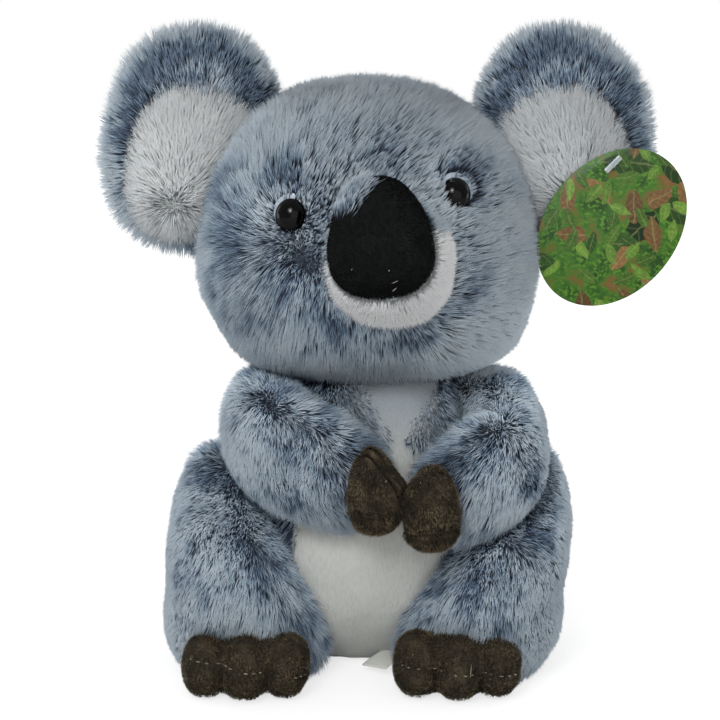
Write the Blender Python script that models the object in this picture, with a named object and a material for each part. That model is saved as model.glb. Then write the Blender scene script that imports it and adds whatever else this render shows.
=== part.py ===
"""A seated plush koala: stuffed pile-fabric skins, safety eyes, sewn paws and a card tag.

The toy sits on the plane z = 0 and faces -Y. Its own left is +X. Every skin is a shell of
pile fabric over its stuffing, open where it is turned and stuffed, and every soft form is a
rounded form that swells and tapers, cut by the larger ones that it is sewn to.
"""
import math

import bpy
from mathutils import Matrix, Quaternion, Vector

MM = 0.001

# Cloth and clearances
PILE_FABRIC = 5.0 * MM
GAP = 0.35 * MM
OVERRUN = 6.0 * MM
FLOOR_CUT = 0.5 * MM

# Head
NECK_HEIGHT = 114.0 * MM
NECK_SHIFT = 4.0 * MM
NECK_RADIUS = 29.0 * MM
HEAD_WIDTH = 122.0 * MM
HEAD_FRONT = 52.0 * MM
HEAD_BACK = 47.0 * MM
HEAD_HEIGHT = 112.0 * MM
HEAD_SHIFT = 1.0 * MM
CHEEK_RISE = 36.0 * MM

# Face
EYE_DIAMETER = 12.0 * MM
EYE_RISE = 5.0 * MM
EYE_RIM_DIAMETER = 14.2 * MM
EYE_RIM_THICKNESS = 1.6 * MM
EYE_RIM_LIFT = 1.1 * MM
EYE_SEAT_RISE = 1.2 * MM
SHANK_DIAMETER = 4.0 * MM
SHANK_LENGTH = 13.0 * MM
SHANK_RIB = 0.35 * MM
SHANK_RIB_COUNT = 3
PINCHED_FABRIC = 2.4 * MM
WASHER_DIAMETER = 15.0 * MM
WASHER_THICKNESS = 1.4 * MM
RIGHT_EYE_RISE = 66.0 * MM
LEFT_EYE_RISE = 73.5 * MM
NOSE_WIDTH = 38.0 * MM
NOSE_HEIGHT = 45.0 * MM
NOSE_DEPTH = 38.0 * MM
NOSE_X = 5.5 * MM
NOSE_Y = -60.0 * MM
NOSE_RISE = 59.0 * MM
MUZZLE_WIDTH = 44.5 * MM
MUZZLE_HEIGHT = 43.0 * MM
MUZZLE_DEPTH = 44.0 * MM
MUZZLE_X = 9.0 * MM
MUZZLE_Y = -44.0 * MM
MUZZLE_RISE = 47.5 * MM

# Ears
EAR_WIDTH = 64.0 * MM
EAR_HEIGHT = 82.0 * MM
EAR_THICKNESS = 20.0 * MM
EAR_Y = 6.0 * MM
EAR_LINING_WIDTH = 44.0 * MM
EAR_LINING_HEIGHT = 52.0 * MM
EAR_LINING_THICKNESS = 13.0 * MM
EAR_LINING_Y = -6.0 * MM
RIGHT_LINING_DROP = 9.0 * MM
LEFT_LINING_DROP = 9.0 * MM
RIGHT_EAR_STANDOUT = 7.0 * MM
LEFT_EAR_STANDOUT = 17.5 * MM
EAR_RISE = 91.0 * MM

# Body
BODY_HALF_WIDTH = 50.0 * MM
BODY_HALF_DEPTH = 50.0 * MM
SEAT_THICKNESS = 5.0 * MM
BELLY_HALF_WIDTH = 30.0 * MM
BELLY_REAR = -12.0 * MM
PELLET_POUCH_WIDTH = 62.0 * MM
PELLET_POUCH_DEPTH = 50.0 * MM
PELLET_POUCH_HEIGHT = 22.0 * MM
PELLET_POUCH_FLAT = 2.0 * MM

# Limbs
ARM_THICKNESS = 26.0 * MM
ARM_HEIGHT = 36.0 * MM
LEG_WIDTH = 55.0 * MM
LEG_HEIGHT = 81.0 * MM
TURNING_HOLE = 16.0 * MM
HAND_WIDTH = 19.6 * MM
HAND_HEIGHT = 31.0 * MM
HAND_DEPTH = 18.0 * MM
RIGHT_HAND_SEAM_DISTANCE = 5.0 * MM
LEFT_HAND_SEAM_DISTANCE = 9.0 * MM
TOE_WIDTH = 17.4 * MM
TOE_LENGTH = 34.0 * MM
TOE_HEIGHT = 23.0 * MM
FOOT_WIDTH = 44.0 * MM
FOOT_LENGTH = 46.0 * MM
FOOT_SEAM_HEIGHT = 10.5 * MM

# Tag, its pin and the sewn-in label
TAG_LENGTH = 68.0 * MM
TAG_WIDTH = 52.0 * MM
TAG_THICKNESS = 0.8 * MM
TAG_HOLE = 4.0 * MM
TAG_DROP = 25.0 * MM
PIN_DIAMETER = 1.0 * MM
PIN_PADDLE_LENGTH = 8.0 * MM
PIN_PADDLE_WIDTH = 2.2 * MM
PIN_BAR_LENGTH = 9.0 * MM
LABEL_WIDTH = 12.0 * MM
LABEL_LENGTH = 14.0 * MM
LABEL_THICKNESS = 0.6 * MM

# Angles
NOSE_TILT = math.radians(-5)
RIGHT_EAR_TILT = math.radians(10)
LEFT_EAR_TILT = math.radians(-10)
EAR_AXIS_LEAN = math.radians(16)
EAR_SWING = math.radians(15)
SHOULDER_LEAN = math.radians(20)
ARM_SWING = math.radians(25)
LEG_SPLAY = math.radians(15)
TAG_TILT = math.radians(51)
PIN_PADDLE_TURN = math.radians(45)
RIGHT_HAND_TILT = math.radians(4)
LEFT_HAND_TILT = math.radians(-6)
LABEL_TURN = math.radians(-38)
LABEL_SLOPE = math.radians(14)
SHARP_ANGLE = math.radians(50)
RIGHT_HAND_SEAM = Vector((0.74, 0.40, 0.54)).normalized()
LEFT_HAND_SEAM = Vector((0.05, 0.30, -0.95)).normalized()

# Directions
NECK_AXIS = Vector((0, 0, 1))
FACING = Vector((0, -1, 0))

# Shares
NOSE_NARROWING_SHARE = 0.22
FOOT_REAR_SHARE = 0.28
SHANK_TIP_SHARE = 0.6
RIB_CREST_SHARE = 0.35
RIB_FOOT_SHARE = 0.9
RIM_EDGE_SHARE = 0.33
ROUTE_STEP_SHARE = 0.05
SWING_SHARES = (0.0, 1.0)
RIGHT_EYE_X_SHARE = -0.2295
LEFT_EYE_X_SHARE = 0.2787
EAR_AXIS_X_SHARE = 0.385
TAG_HOLE_SHARES = (0.2890625, -0.3125, -0.125)
TOE_SHARES = ((-0.86, -0.06), (0.0, 0.06), (0.86, -0.04))
RIGHT_HAND_SHARES = (0.07, -1.42, 0.685)
LEFT_HAND_SHARES = (0.50, -1.42, 0.635)
RIGHT_SHOULDER_SHARES = (-0.62, 0.40, 0.90)
LEFT_SHOULDER_SHARES = (0.82, 0.40, 0.90)
RIGHT_HIP_SHARES = (-0.90, 0.64, 0.0)
LEFT_HIP_SHARES = (0.92, 0.64, 0.0)
RIGHT_FOOT_SHARES = (-0.91, -1.42)
LEFT_FOOT_SHARES = (0.70, -1.42)
LABEL_SHARES = (0.24, -0.724, 0.05)

# Places, as shares of the body's half width, half depth and the neck's height
RIGHT_ARM_ROUTE_SHARES = (
    (-0.20, 0.30, 0.83),
    (-0.78, -0.14, 0.83),
    (-0.70, -0.76, 0.79),
    (-0.30, -1.02, 0.73),
    (0.10, -1.12, 0.68),
)
LEFT_ARM_ROUTE_SHARES = (
    (0.44, 0.30, 0.83),
    (1.04, -0.14, 0.82),
    (1.10, -0.76, 0.73),
    (0.82, -1.02, 0.68),
    (0.46, -1.12, 0.64),
)
ARM_THICKNESS_SHARES = (0.94, 1.00, 1.04, 1.00, 0.78)
ARM_HEIGHT_SHARES = (0.90, 1.00, 1.06, 1.10, 0.92)
RIGHT_LEG_ROUTE_SHARES = (
    (-0.44, 0.62, 0.31),
    (-0.90, 0.10, 0.35),
    (-0.98, -0.50, 0.285),
    (-0.94, -1.00, 0.235),
    (-0.90, -1.34, 0.185),
)
LEFT_LEG_ROUTE_SHARES = (
    (0.46, 0.62, 0.31),
    (0.92, 0.10, 0.35),
    (0.98, -0.50, 0.285),
    (0.86, -1.00, 0.235),
    (0.74, -1.34, 0.185),
)
LEG_WIDTH_SHARES = (0.85, 1.00, 1.02, 0.98, 0.90)
LEG_HEIGHT_SHARES = (0.85, 1.00, 0.82, 0.68, 0.54)
RIGHT_LEG_LEAN_SHARE = -0.30
LEFT_LEG_LEAN_SHARE = 0.48
LOWER_LEAN_SHARE = 0.4
LEG_TAPER_SHARE = 0.30
LEG_ROUNDNESS_SHARE = 2.8

# Rows of the body: height, sideways lean, half width, front and back, as shares
BODY_ROW_SHARES = (
    (0.00, 0.00, 0.66, 0.44, 0.74),
    (0.05, 0.00, 0.86, 0.66, 0.92),
    (0.14, 0.00, 0.98, 0.84, 1.02),
    (0.27, 0.02, 1.01, 0.95, 1.04),
    (0.43, 0.05, 0.95, 1.00, 0.99),
    (0.60, 0.09, 0.80, 0.96, 0.88),
    (0.77, 0.11, 0.66, 0.86, 0.76),
    (0.90, 0.10, 0.60, 0.70, 0.64),
    (1.00, 0.08, 0.58, 0.52, 0.50),
)
# Rows of the belly panel: height, sideways lean of its middle, half width, as shares
BELLY_ROW_SHARES = (
    (-0.10, 0.00, 0.60),
    (0.10, 0.00, 0.78),
    (0.30, 0.01, 0.95),
    (0.50, 0.05, 1.00),
    (0.75, 0.12, 0.86),
    (1.10, 0.16, 0.62),
)
# How square a form is: a circle has 2, a box has far more
CIRCLE_SHARE = 2.0
TOE_ROUNDNESS_SHARE = 2.2
SOFT_ROUNDNESS_SHARE = 2.3
HEAD_ROUNDNESS_SHARE = 2.35
HAND_ROUNDNESS_SHARE = 2.6
ARM_BLUNT_SHARE = 3.0
LEG_BLUNT_SHARE = 2.6

# Counts of sides round a form and of steps along it
PAD_SIDES, PAD_STEPS = 16, 10
FINE_SIDES, FINE_STEPS = 20, 12
HAND_SIDES, HAND_STEPS = 14, 9
TOE_SIDES, TOE_STEPS = 12, 8
HEAD_SIDES, HEAD_LOWER_STEPS, HEAD_UPPER_STEPS = 22, 4, 7
BODY_SIDES, BODY_STEPS = 18, 12
BELLY_ROW_STEPS = 3
ARM_SIDES, ARM_STEPS = 14, 10
LEG_SIDES, LEG_STEPS = 16, 9
DOME_SIDES, DOME_STEPS = 16, 5
DISC_SIDES = 20
CARD_SIDES = 44
BAR_SIDES = 16
PIN_SIDES = 12

# Colours and how rough each finish is
FUR_GREY = (0.20, 0.25, 0.31)
PILE_WHITE = (0.62, 0.64, 0.62)
PAW_BROWN = (0.045, 0.028, 0.018)
NOSE_BLACK = (0.010, 0.011, 0.010)
STUFFING_WHITE = (0.85, 0.85, 0.82)
PELLET_TAN = (0.55, 0.52, 0.45)
EYE_BROWN = (0.006, 0.005, 0.004)
RIM_GREY = (0.33, 0.38, 0.44)
WASHER_WHITE = (0.75, 0.75, 0.73)
CARD_GREEN = (0.06, 0.16, 0.03)
PIN_CLEAR = (0.80, 0.82, 0.82)
LABEL_WHITE = (0.70, 0.71, 0.68)
PILE_ROUGHNESS = 0.9
NOSE_ROUGHNESS = 0.85
STUFFING_ROUGHNESS = 1.0
POUCH_ROUGHNESS = 0.8
LABEL_ROUGHNESS = 0.7
WASHER_ROUGHNESS = 0.5
CARD_ROUGHNESS = 0.35
RIM_ROUGHNESS = 0.3
PIN_ROUGHNESS = 0.15
EYE_ROUGHNESS = 0.05


def signed_power(value, exponent):
    """value to a power, with its sign kept."""
    return math.copysign(abs(value) ** exponent, value)


def spline(rows, place):
    """A smooth value between rows; place runs from 0 to the last row's number."""
    index = min(int(place), len(rows) - 2)
    share = place - index
    first = rows[max(index - 1, 0)]
    start, end = rows[index], rows[index + 1]
    last = rows[min(index + 2, len(rows) - 1)]
    values = []
    for before, a, b, after in zip(first, start, end, last):
        slope_a = (b - before) / 2
        slope_b = (after - a) / 2
        values.append(
            a * (2 * share ** 3 - 3 * share ** 2 + 1)
            + slope_a * (share ** 3 - 2 * share ** 2 + share)
            + b * (3 * share ** 2 - 2 * share ** 3)
            + slope_b * (share ** 3 - share ** 2)
        )
    return values


def add_rings(name, rings):
    """A closed mesh through rings of points; a ring of one point is a pole, other ends get a cap."""
    points = []
    starts = []
    for ring in rings:
        starts.append(len(points))
        points.extend(ring)
    faces = []
    for number in range(len(rings) - 1):
        low, high = starts[number], starts[number + 1]
        sides = max(len(rings[number]), len(rings[number + 1]))
        for side in range(sides):
            following = (side + 1) % sides
            if len(rings[number]) == 1:
                faces.append((low, high + following, high + side))
            elif len(rings[number + 1]) == 1:
                faces.append((low + side, low + following, high))
            else:
                faces.append((low + side, low + following, high + following, high + side))
    if len(rings[0]) > 1:
        faces.append(tuple(reversed(range(starts[0], starts[0] + len(rings[0])))))
    if len(rings[-1]) > 1:
        faces.append(tuple(range(starts[-1], starts[-1] + len(rings[-1]))))
    mesh = bpy.data.meshes.new(name)
    mesh.from_pydata([tuple(point) for point in points], [], faces)
    mesh.update()
    item = bpy.data.objects.new(name, mesh)
    bpy.context.scene.collection.objects.link(item)
    if signed_volume(mesh) < 0:
        mesh.flip_normals()
    return item


def signed_volume(mesh):
    """Signed volume of a closed mesh."""
    total = 0.0
    for face in mesh.polygons:
        corners = [mesh.vertices[index].co for index in face.vertices]
        for second, third in zip(corners[1:], corners[2:]):
            total += corners[0].dot(second.cross(third)) / 6
    return total


def apply_modifiers(item):
    """Replace an object's mesh with its evaluated one."""
    graph = bpy.context.evaluated_depsgraph_get()
    mesh = bpy.data.meshes.new_from_object(item.evaluated_get(graph))
    item.modifiers.clear()
    old = item.data
    item.data = mesh
    bpy.data.meshes.remove(old)
    mesh.name = item.name


def combine(item, other, operation):
    """Boolean of two closed objects, applied at once; the other one is used up."""
    modifier = item.modifiers.new(operation, "BOOLEAN")
    modifier.operation = operation
    modifier.object = other
    apply_modifiers(item)
    remove(other)


def cut(item, *cutters):
    """Take closed cutters away from an object."""
    for cutter in cutters:
        combine(item, cutter, "DIFFERENCE")


def copy_of(item, name):
    """A second object with its own mesh."""
    twin = item.copy()
    twin.data = item.data.copy()
    twin.name = name
    bpy.context.scene.collection.objects.link(twin)
    return twin


def remove(item):
    """Take away an object and its mesh."""
    mesh = item.data
    bpy.data.objects.remove(item)
    bpy.data.meshes.remove(mesh)


def moved(item, matrix):
    """Move an object's mesh by a matrix."""
    item.data.transform(matrix)
    item.data.update()
    return item


def oval(sides, centre, along, upright, roundness):
    """Points of a rounded ring from two half axes given as vectors."""
    ring = []
    for side in range(sides):
        angle = math.tau * side / sides
        ring.append(
            centre
            + along * signed_power(math.cos(angle), 2 / roundness)
            + upright * signed_power(math.sin(angle), 2 / roundness)
        )
    return ring


def level_ring(sides, x, z, half_width, front, back, roundness):
    """A level ring whose front and back depths differ."""
    ring = []
    for side in range(sides):
        angle = math.tau * side / sides
        depth = back if math.sin(angle) > 0 else front
        ring.append(Vector((
            x + half_width * signed_power(math.cos(angle), 2 / roundness),
            depth * signed_power(math.sin(angle), 2 / roundness),
            z,
        )))
    return ring


def turned(name, profile, sides):
    """A turned piece about Z from (radius, height) pairs, listed from its top to its foot."""
    rings = []
    for radius, height in profile:
        if radius == 0:
            rings.append([Vector((0, 0, height))])
        else:
            rings.append(oval(sides, Vector((0, 0, height)), Vector((radius, 0, 0)),
                              Vector((0, radius, 0)), CIRCLE_SHARE))
    return add_rings(name, rings)


def rod(name, start, end, radius, sides=BAR_SIDES):
    """A round bar between two points."""
    length = (end - start).length
    bar = turned(name, ((radius, length), (radius, 0)), sides)
    turn = (end - start).to_track_quat("Z", "Y").to_matrix().to_4x4()
    return moved(bar, Matrix.Translation(start) @ turn)


def block(name, low, high):
    """A box between two corners."""
    ring_low = [Vector((low.x, low.y, low.z)), Vector((high.x, low.y, low.z)),
                Vector((high.x, high.y, low.z)), Vector((low.x, high.y, low.z))]
    ring_high = [Vector((corner.x, corner.y, high.z)) for corner in ring_low]
    return add_rings(name, (ring_low, ring_high))


def reach():
    """A length that passes through the whole toy."""
    return 2 * (NECK_HEIGHT + HEAD_HEIGHT)


def slab(name, low, high):
    """All space between two heights."""
    return block(name, Vector((-reach(), -reach(), low)), Vector((reach(), reach(), high)))


def half_space(name, point, normal):
    """All space on the side of a plane that its normal points to."""
    box = block(name, Vector((-reach(), -reach(), 0)), Vector((reach(), reach(), reach())))
    turn = normal.to_track_quat("Z", "Y").to_matrix().to_4x4()
    return moved(box, Matrix.Translation(point) @ turn)


def soft_form(name, half_x, half_y, half_z, sides=PAD_SIDES, steps=PAD_STEPS,
              roundness=SOFT_ROUNDNESS_SHARE, narrowing=0.0):
    """A rounded pad about the origin; narrowing makes its upper end slimmer."""
    rings = [[Vector((0, 0, -half_z))]]
    for step in range(1, steps):
        angle = math.pi * (step / steps - 1 / 2)
        width = math.cos(angle) ** (2 / roundness)
        height = signed_power(math.sin(angle), 2 / roundness)
        width *= 1 - narrowing * height
        rings.append(oval(sides, Vector((0, 0, half_z * height)),
                          Vector((half_x * width, 0, 0)), Vector((0, half_y * width, 0)), roundness))
    rings.append([Vector((0, 0, half_z))])
    return add_rings(name, rings)


def at_shares(shares):
    """A place from shares of the body's half width, half depth and the neck's height."""
    height = shares[2] if len(shares) > 2 else 0
    return Vector((shares[0] * BODY_HALF_WIDTH, shares[1] * BODY_HALF_DEPTH, height * NECK_HEIGHT))


def body_clearance(inset):
    """The body's form without its cut ends' overrun."""
    return body_form("body_clearance", inset)


def head_form(name, inset=0.0, through=0.0):
    """The head's rounded form; through carries its neck end down past the neck."""
    half_width = HEAD_WIDTH / 2 - inset
    front = HEAD_FRONT - inset
    back = HEAD_BACK - inset
    bottom = NECK_HEIGHT + inset
    top = NECK_HEIGHT + HEAD_HEIGHT - inset
    widest = NECK_HEIGHT + CHEEK_RISE
    exponent = 2 / HEAD_ROUNDNESS_SHARE
    neck_share = (NECK_RADIUS - inset) / half_width
    steepest = math.acos(neck_share ** (1 / exponent))
    rows = []
    if through:
        rows.append((NECK_SHIFT, bottom - inset - through, neck_share))
    for step in range(HEAD_LOWER_STEPS):
        angle = steepest * (1 - step / HEAD_LOWER_STEPS)
        drop = (math.sin(angle) / math.sin(steepest)) ** exponent
        shift = HEAD_SHIFT + (NECK_SHIFT - HEAD_SHIFT) * drop
        rows.append((shift, widest - drop * (widest - bottom), math.cos(angle) ** exponent))
    for step in range(HEAD_UPPER_STEPS):
        angle = math.pi / 2 * step / HEAD_UPPER_STEPS
        rise = math.sin(angle) ** exponent
        rows.append((HEAD_SHIFT, widest + rise * (top - widest), math.cos(angle) ** exponent))
    rings = []
    for shift, height, share in rows:
        rings.append(level_ring(HEAD_SIDES, shift, height, half_width * share, front * share,
                                back * share, SOFT_ROUNDNESS_SHARE))
    rings.append([Vector((HEAD_SHIFT, 0, top))])
    return add_rings(name, rings)


def body_form(name, inset=0.0, through=0.0):
    """The seated body's pear form; through carries both ends past the seat and the neck."""
    rings = []
    for step in range(BODY_STEPS + 1):
        place = step / BODY_STEPS * (len(BODY_ROW_SHARES) - 1)
        height, shift, width, front, back = spline(BODY_ROW_SHARES, place)
        level = height * (NECK_HEIGHT - GAP)
        if step == 0:
            level += inset if not through else -through
        if step == BODY_STEPS:
            level += -inset if not through else through
        rings.append(level_ring(BODY_SIDES, shift * BODY_HALF_WIDTH, level,
                                width * BODY_HALF_WIDTH - inset,
                                front * BODY_HALF_DEPTH - inset,
                                back * BODY_HALF_DEPTH - inset, SOFT_ROUNDNESS_SHARE))
    return add_rings(name, rings)


def limb_form(name, route, across, upright, inset=0.0, lean=0.0, taper=0.0, blunt=ARM_BLUNT_SHARE,
              sides=ARM_SIDES, steps=ARM_STEPS, roundness=SOFT_ROUNDNESS_SHARE):
    """A stuffed limb swept along its route, round at both ends.

    lean slides each ring's upper part sideways, its lower part less the other way, and
    taper makes the upper part slimmer.
    """
    rows = [tuple(point) + (wide, tall) for point, wide, tall in zip(route, across, upright)]
    length = sum((b - a).length for a, b in zip(route, route[1:]))
    trim = inset / length
    last = len(rows) - 1
    rings = []
    for step in range(steps + 1):
        share = (1 - math.cos(math.pi * step / steps)) / 2
        place = last * (trim + (1 - 2 * trim) * share)
        x, y, z, wide, tall = spline(rows, place)
        centre = Vector((x, y, z))
        if step in (0, steps):
            rings.append([centre])
            continue
        ahead = Vector(spline(rows, min(place + ROUTE_STEP_SHARE, last))[:3])
        behind = Vector(spline(rows, max(place - ROUTE_STEP_SHARE, 0))[:3])
        level = (ahead - behind).to_2d().normalized()
        sideways = Vector((level.y, -level.x, 0))
        up = Vector((0, 0, 1))
        swell = (1 - abs(2 * share - 1) ** blunt) ** (1 / blunt)
        ring = []
        for side in range(sides):
            angle = math.tau * side / sides
            rise = signed_power(math.sin(angle), 2 / roundness)
            width = signed_power(math.cos(angle), 2 / roundness)
            width *= 1 - taper * rise
            slide = lean * rise if rise > 0 else lean * LOWER_LEAN_SHARE * rise
            half_wide = (wide / 2 - inset) * swell
            half_tall = (tall / 2 - inset) * swell
            ring.append(centre + sideways * half_wide * width + up * half_tall * rise
                        + Vector((slide * half_tall, 0, 0)))
        rings.append(ring)
    return add_rings(name, rings)


def material(name, colour, roughness, metallic=0.0):
    """A Principled material in the photographed colour."""
    made = bpy.data.materials.new(name)
    made.use_nodes = True
    made.diffuse_color = (*colour, 1.0)
    shader = made.node_tree.nodes["Principled BSDF"]
    shader.inputs["Base Color"].default_value = (*colour, 1.0)
    shader.inputs["Roughness"].default_value = roughness
    shader.inputs["Metallic"].default_value = metallic
    return made


def finish(item, name, colour, roughness, pivot=None):
    """Name a piece, give it its own material and hang it from its joint's empty."""
    item.name = name
    item.data.name = name
    item.data.materials.clear()
    item.data.materials.append(material(name + "_material", colour, roughness))
    item.data.shade_smooth()
    item.data.set_sharp_from_angle(angle=SHARP_ANGLE)
    if pivot:
        item.data.transform(pivot.matrix_world.inverted())
        item.parent = pivot
    return item


def pivot_at(name, place, axis, carrier=None):
    """An empty on a joint's axis, with its own Z along that axis."""
    pivot = bpy.data.objects.new(name, None)
    bpy.context.scene.collection.objects.link(pivot)
    turn = axis.to_track_quat("Z", "Y").to_matrix().to_4x4()
    world = Matrix.Translation(place) @ turn
    if carrier:
        pivot.parent = carrier
        pivot.matrix_local = carrier.matrix_world.inverted() @ world
    else:
        pivot.matrix_local = world
    bpy.context.view_layer.update()
    return pivot


def turned_about(item, place, axis, angle):
    """Turn a mesh about an axis through a place."""
    turn = Quaternion(axis, angle).to_matrix().to_4x4()
    return moved(item, Matrix.Translation(place) @ turn @ Matrix.Translation(-place))


def face_frame(head, x, z):
    """The frame of a part set on the face: its Z points out of the skin."""
    start = Vector((x, -reach(), z))
    hit, point, normal, _ = head.ray_cast(start, -FACING)
    outward = (normal + FACING).normalized()
    return Matrix.Translation(point) @ outward.to_track_quat("Z", "Y").to_matrix().to_4x4()


def build_eye(side, x, z, head, head_shell, head_stuffing, neck):
    """A safety eye: dome and ribbed shank, its rim, and the lock washer inside the skin."""
    frame = face_frame(head, x, z) @ Matrix.Translation((0, 0, EYE_SEAT_RISE))
    rim_top = -GAP
    rim_foot = rim_top - EYE_RIM_THICKNESS
    washer_top = rim_foot - 2 * GAP - PINCHED_FABRIC
    radius = EYE_DIAMETER / 2
    shank = SHANK_DIAMETER / 2
    profile = [(0, EYE_RISE)]
    for step in range(1, DOME_STEPS + 1):
        angle = math.pi / 2 * step / DOME_STEPS
        profile.append((radius * math.sin(angle), EYE_RISE * math.cos(angle)))
    profile.append((shank, 0))
    profile.append((shank, washer_top - WASHER_THICKNESS - GAP))
    rib_pitch = (SHANK_LENGTH + washer_top - WASHER_THICKNESS - GAP) / SHANK_RIB_COUNT
    for rib in range(SHANK_RIB_COUNT):
        level = washer_top - WASHER_THICKNESS - GAP - rib * rib_pitch
        profile.append((shank + SHANK_RIB, level - rib_pitch * RIB_CREST_SHARE))
        profile.append((shank, level - rib_pitch * RIB_FOOT_SHARE))
    profile.append((shank * SHANK_TIP_SHARE, -SHANK_LENGTH))
    profile.append((0, -SHANK_LENGTH))
    eye = moved(turned("eye", profile, DOME_SIDES), frame)
    finish(eye, side + "_eye", EYE_BROWN, EYE_ROUGHNESS, neck)

    rim_radius = EYE_RIM_DIAMETER / 2
    rim_edge = EYE_RIM_THICKNESS * RIM_EDGE_SHARE
    rim = turned("rim", ((0, rim_top), (rim_radius - rim_edge, rim_top),
                         (rim_radius, rim_top - rim_edge), (rim_radius, rim_foot), (0, rim_foot)),
                 DISC_SIDES)
    upward = frame.inverted().to_3x3() @ Vector((0, 0, 1))
    upward.z = 0
    moved(rim, Matrix.Translation(upward.normalized() * EYE_RIM_LIFT))
    cut(rim, rod("bore", Vector((0, 0, rim_foot - OVERRUN)), Vector((0, 0, OVERRUN)), shank + GAP))
    moved(rim, frame)
    finish(rim, side + "_eye_rim", RIM_GREY, RIM_ROUGHNESS, neck)

    washer_radius = WASHER_DIAMETER / 2
    washer = turned("washer", (
        (washer_radius, washer_top), (washer_radius, washer_top - WASHER_THICKNESS)), DISC_SIDES)
    cut(washer, rod("bore", Vector((0, 0, washer_top - OVERRUN)), Vector((0, 0, OVERRUN)), shank + GAP))
    moved(washer, frame)
    finish(washer, side + "_eye_washer", WASHER_WHITE, WASHER_ROUGHNESS, neck)

    seat_radius = rim_radius + EYE_RIM_LIFT + GAP
    seat = rod("seat", Vector((0, 0, rim_foot - GAP)), Vector((0, 0, OVERRUN)), seat_radius,
               DISC_SIDES)
    bore = rod("bore", Vector((0, 0, washer_top - OVERRUN)), Vector((0, 0, OVERRUN)), shank + GAP)
    inner = rod("inner", Vector((0, 0, washer_top - 2 * OVERRUN)), Vector((0, 0, washer_top + GAP)),
                washer_radius + GAP, DISC_SIDES)
    pocket = rod("pocket", Vector((0, 0, -SHANK_LENGTH - GAP)), Vector((0, 0, OVERRUN)),
                 washer_radius + GAP, DISC_SIDES)
    for cutter in (seat, bore, inner, pocket):
        moved(cutter, frame)
    cut(head_shell, seat, bore, inner)
    cut(head_stuffing, pocket)


def build_face(head, neck):
    """The muzzle patch and the nose, each cut by the larger form behind it."""
    muzzle_size = (MUZZLE_WIDTH / 2, MUZZLE_DEPTH / 2, MUZZLE_HEIGHT / 2)
    muzzle_place = Matrix.Translation((MUZZLE_X, MUZZLE_Y, NECK_HEIGHT + MUZZLE_RISE))
    muzzle = moved(soft_form("muzzle", *muzzle_size), muzzle_place)
    cut(muzzle, head_form("head_clearance", -GAP))
    nose = soft_form("nose", NOSE_WIDTH / 2, NOSE_DEPTH / 2, NOSE_HEIGHT / 2,
                     FINE_SIDES, FINE_STEPS, SOFT_ROUNDNESS_SHARE, NOSE_NARROWING_SHARE)
    tilt = Matrix.Rotation(NOSE_TILT, 4, "Y")
    moved(nose, Matrix.Translation((NOSE_X, NOSE_Y, NECK_HEIGHT + NOSE_RISE)) @ tilt)
    clearance = soft_form("clearance", *(half + GAP for half in muzzle_size))
    cut(nose, head_form("head_clearance", -GAP), moved(clearance, muzzle_place))
    finish(muzzle, "muzzle_patch", PILE_WHITE, PILE_ROUGHNESS, neck)
    finish(nose, "nose", NOSE_BLACK, NOSE_ROUGHNESS, neck)


def build_head(neck):
    """Head skin, stuffing, eyes, nose and muzzle."""
    head = head_form("head")
    shell = head_form("head_shell")
    cut(shell, head_form("hollow", PILE_FABRIC, OVERRUN))
    stuffing = head_form("stuffing", PILE_FABRIC + GAP)
    for side, share, rise in (("right", RIGHT_EYE_X_SHARE, RIGHT_EYE_RISE),
                              ("left", LEFT_EYE_X_SHARE, LEFT_EYE_RISE)):
        build_eye(side, share * HEAD_WIDTH, NECK_HEIGHT + rise, head, shell, stuffing, neck)
    build_face(head, neck)
    remove(head)
    finish(shell, "head_skin", FUR_GREY, PILE_ROUGHNESS, neck)
    finish(stuffing, "head_stuffing", STUFFING_WHITE, STUFFING_ROUGHNESS, neck)


def ear_middle(way, standout):
    """The middle of an ear, beyond the widest part of the head."""
    return Vector((way * (HEAD_WIDTH / 2 + standout), EAR_Y, NECK_HEIGHT + EAR_RISE))


def build_ear(side, way, standout, tilt, lining_drop, neck):
    """An ear: a pile back that wraps round the edge and a lining let into its front."""
    middle = ear_middle(way, standout)
    pivot_place = Vector((way * EAR_AXIS_X_SHARE * HEAD_WIDTH + HEAD_SHIFT, EAR_Y, middle.z))
    axis = Vector((-way * math.sin(EAR_AXIS_LEAN), 0, math.cos(EAR_AXIS_LEAN)))
    pivot = pivot_at(side + "_ear_pivot", pivot_place, axis, neck)
    stand = Matrix.Translation(middle) @ Matrix.Rotation(tilt, 4, "Y")
    back = moved(soft_form("ear", EAR_WIDTH / 2, EAR_THICKNESS / 2, EAR_HEIGHT / 2, FINE_SIDES,
                           FINE_STEPS), stand)
    halves = (EAR_LINING_WIDTH / 2, EAR_LINING_THICKNESS / 2, EAR_LINING_HEIGHT / 2)
    let_in = stand @ Matrix.Translation((0, EAR_LINING_Y, -lining_drop))
    lining = moved(soft_form("lining", *halves), let_in)
    for piece, angle in ((back, -EAR_SWING), (back, EAR_SWING), (lining, way * EAR_SWING)):
        clear = head_form("head_clearance", -GAP)
        cut(piece, turned_about(clear, pivot_place, axis, angle))
    cut(back, moved(soft_form("recess", *(half + GAP for half in halves)), let_in))
    return pivot, back, lining


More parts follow.
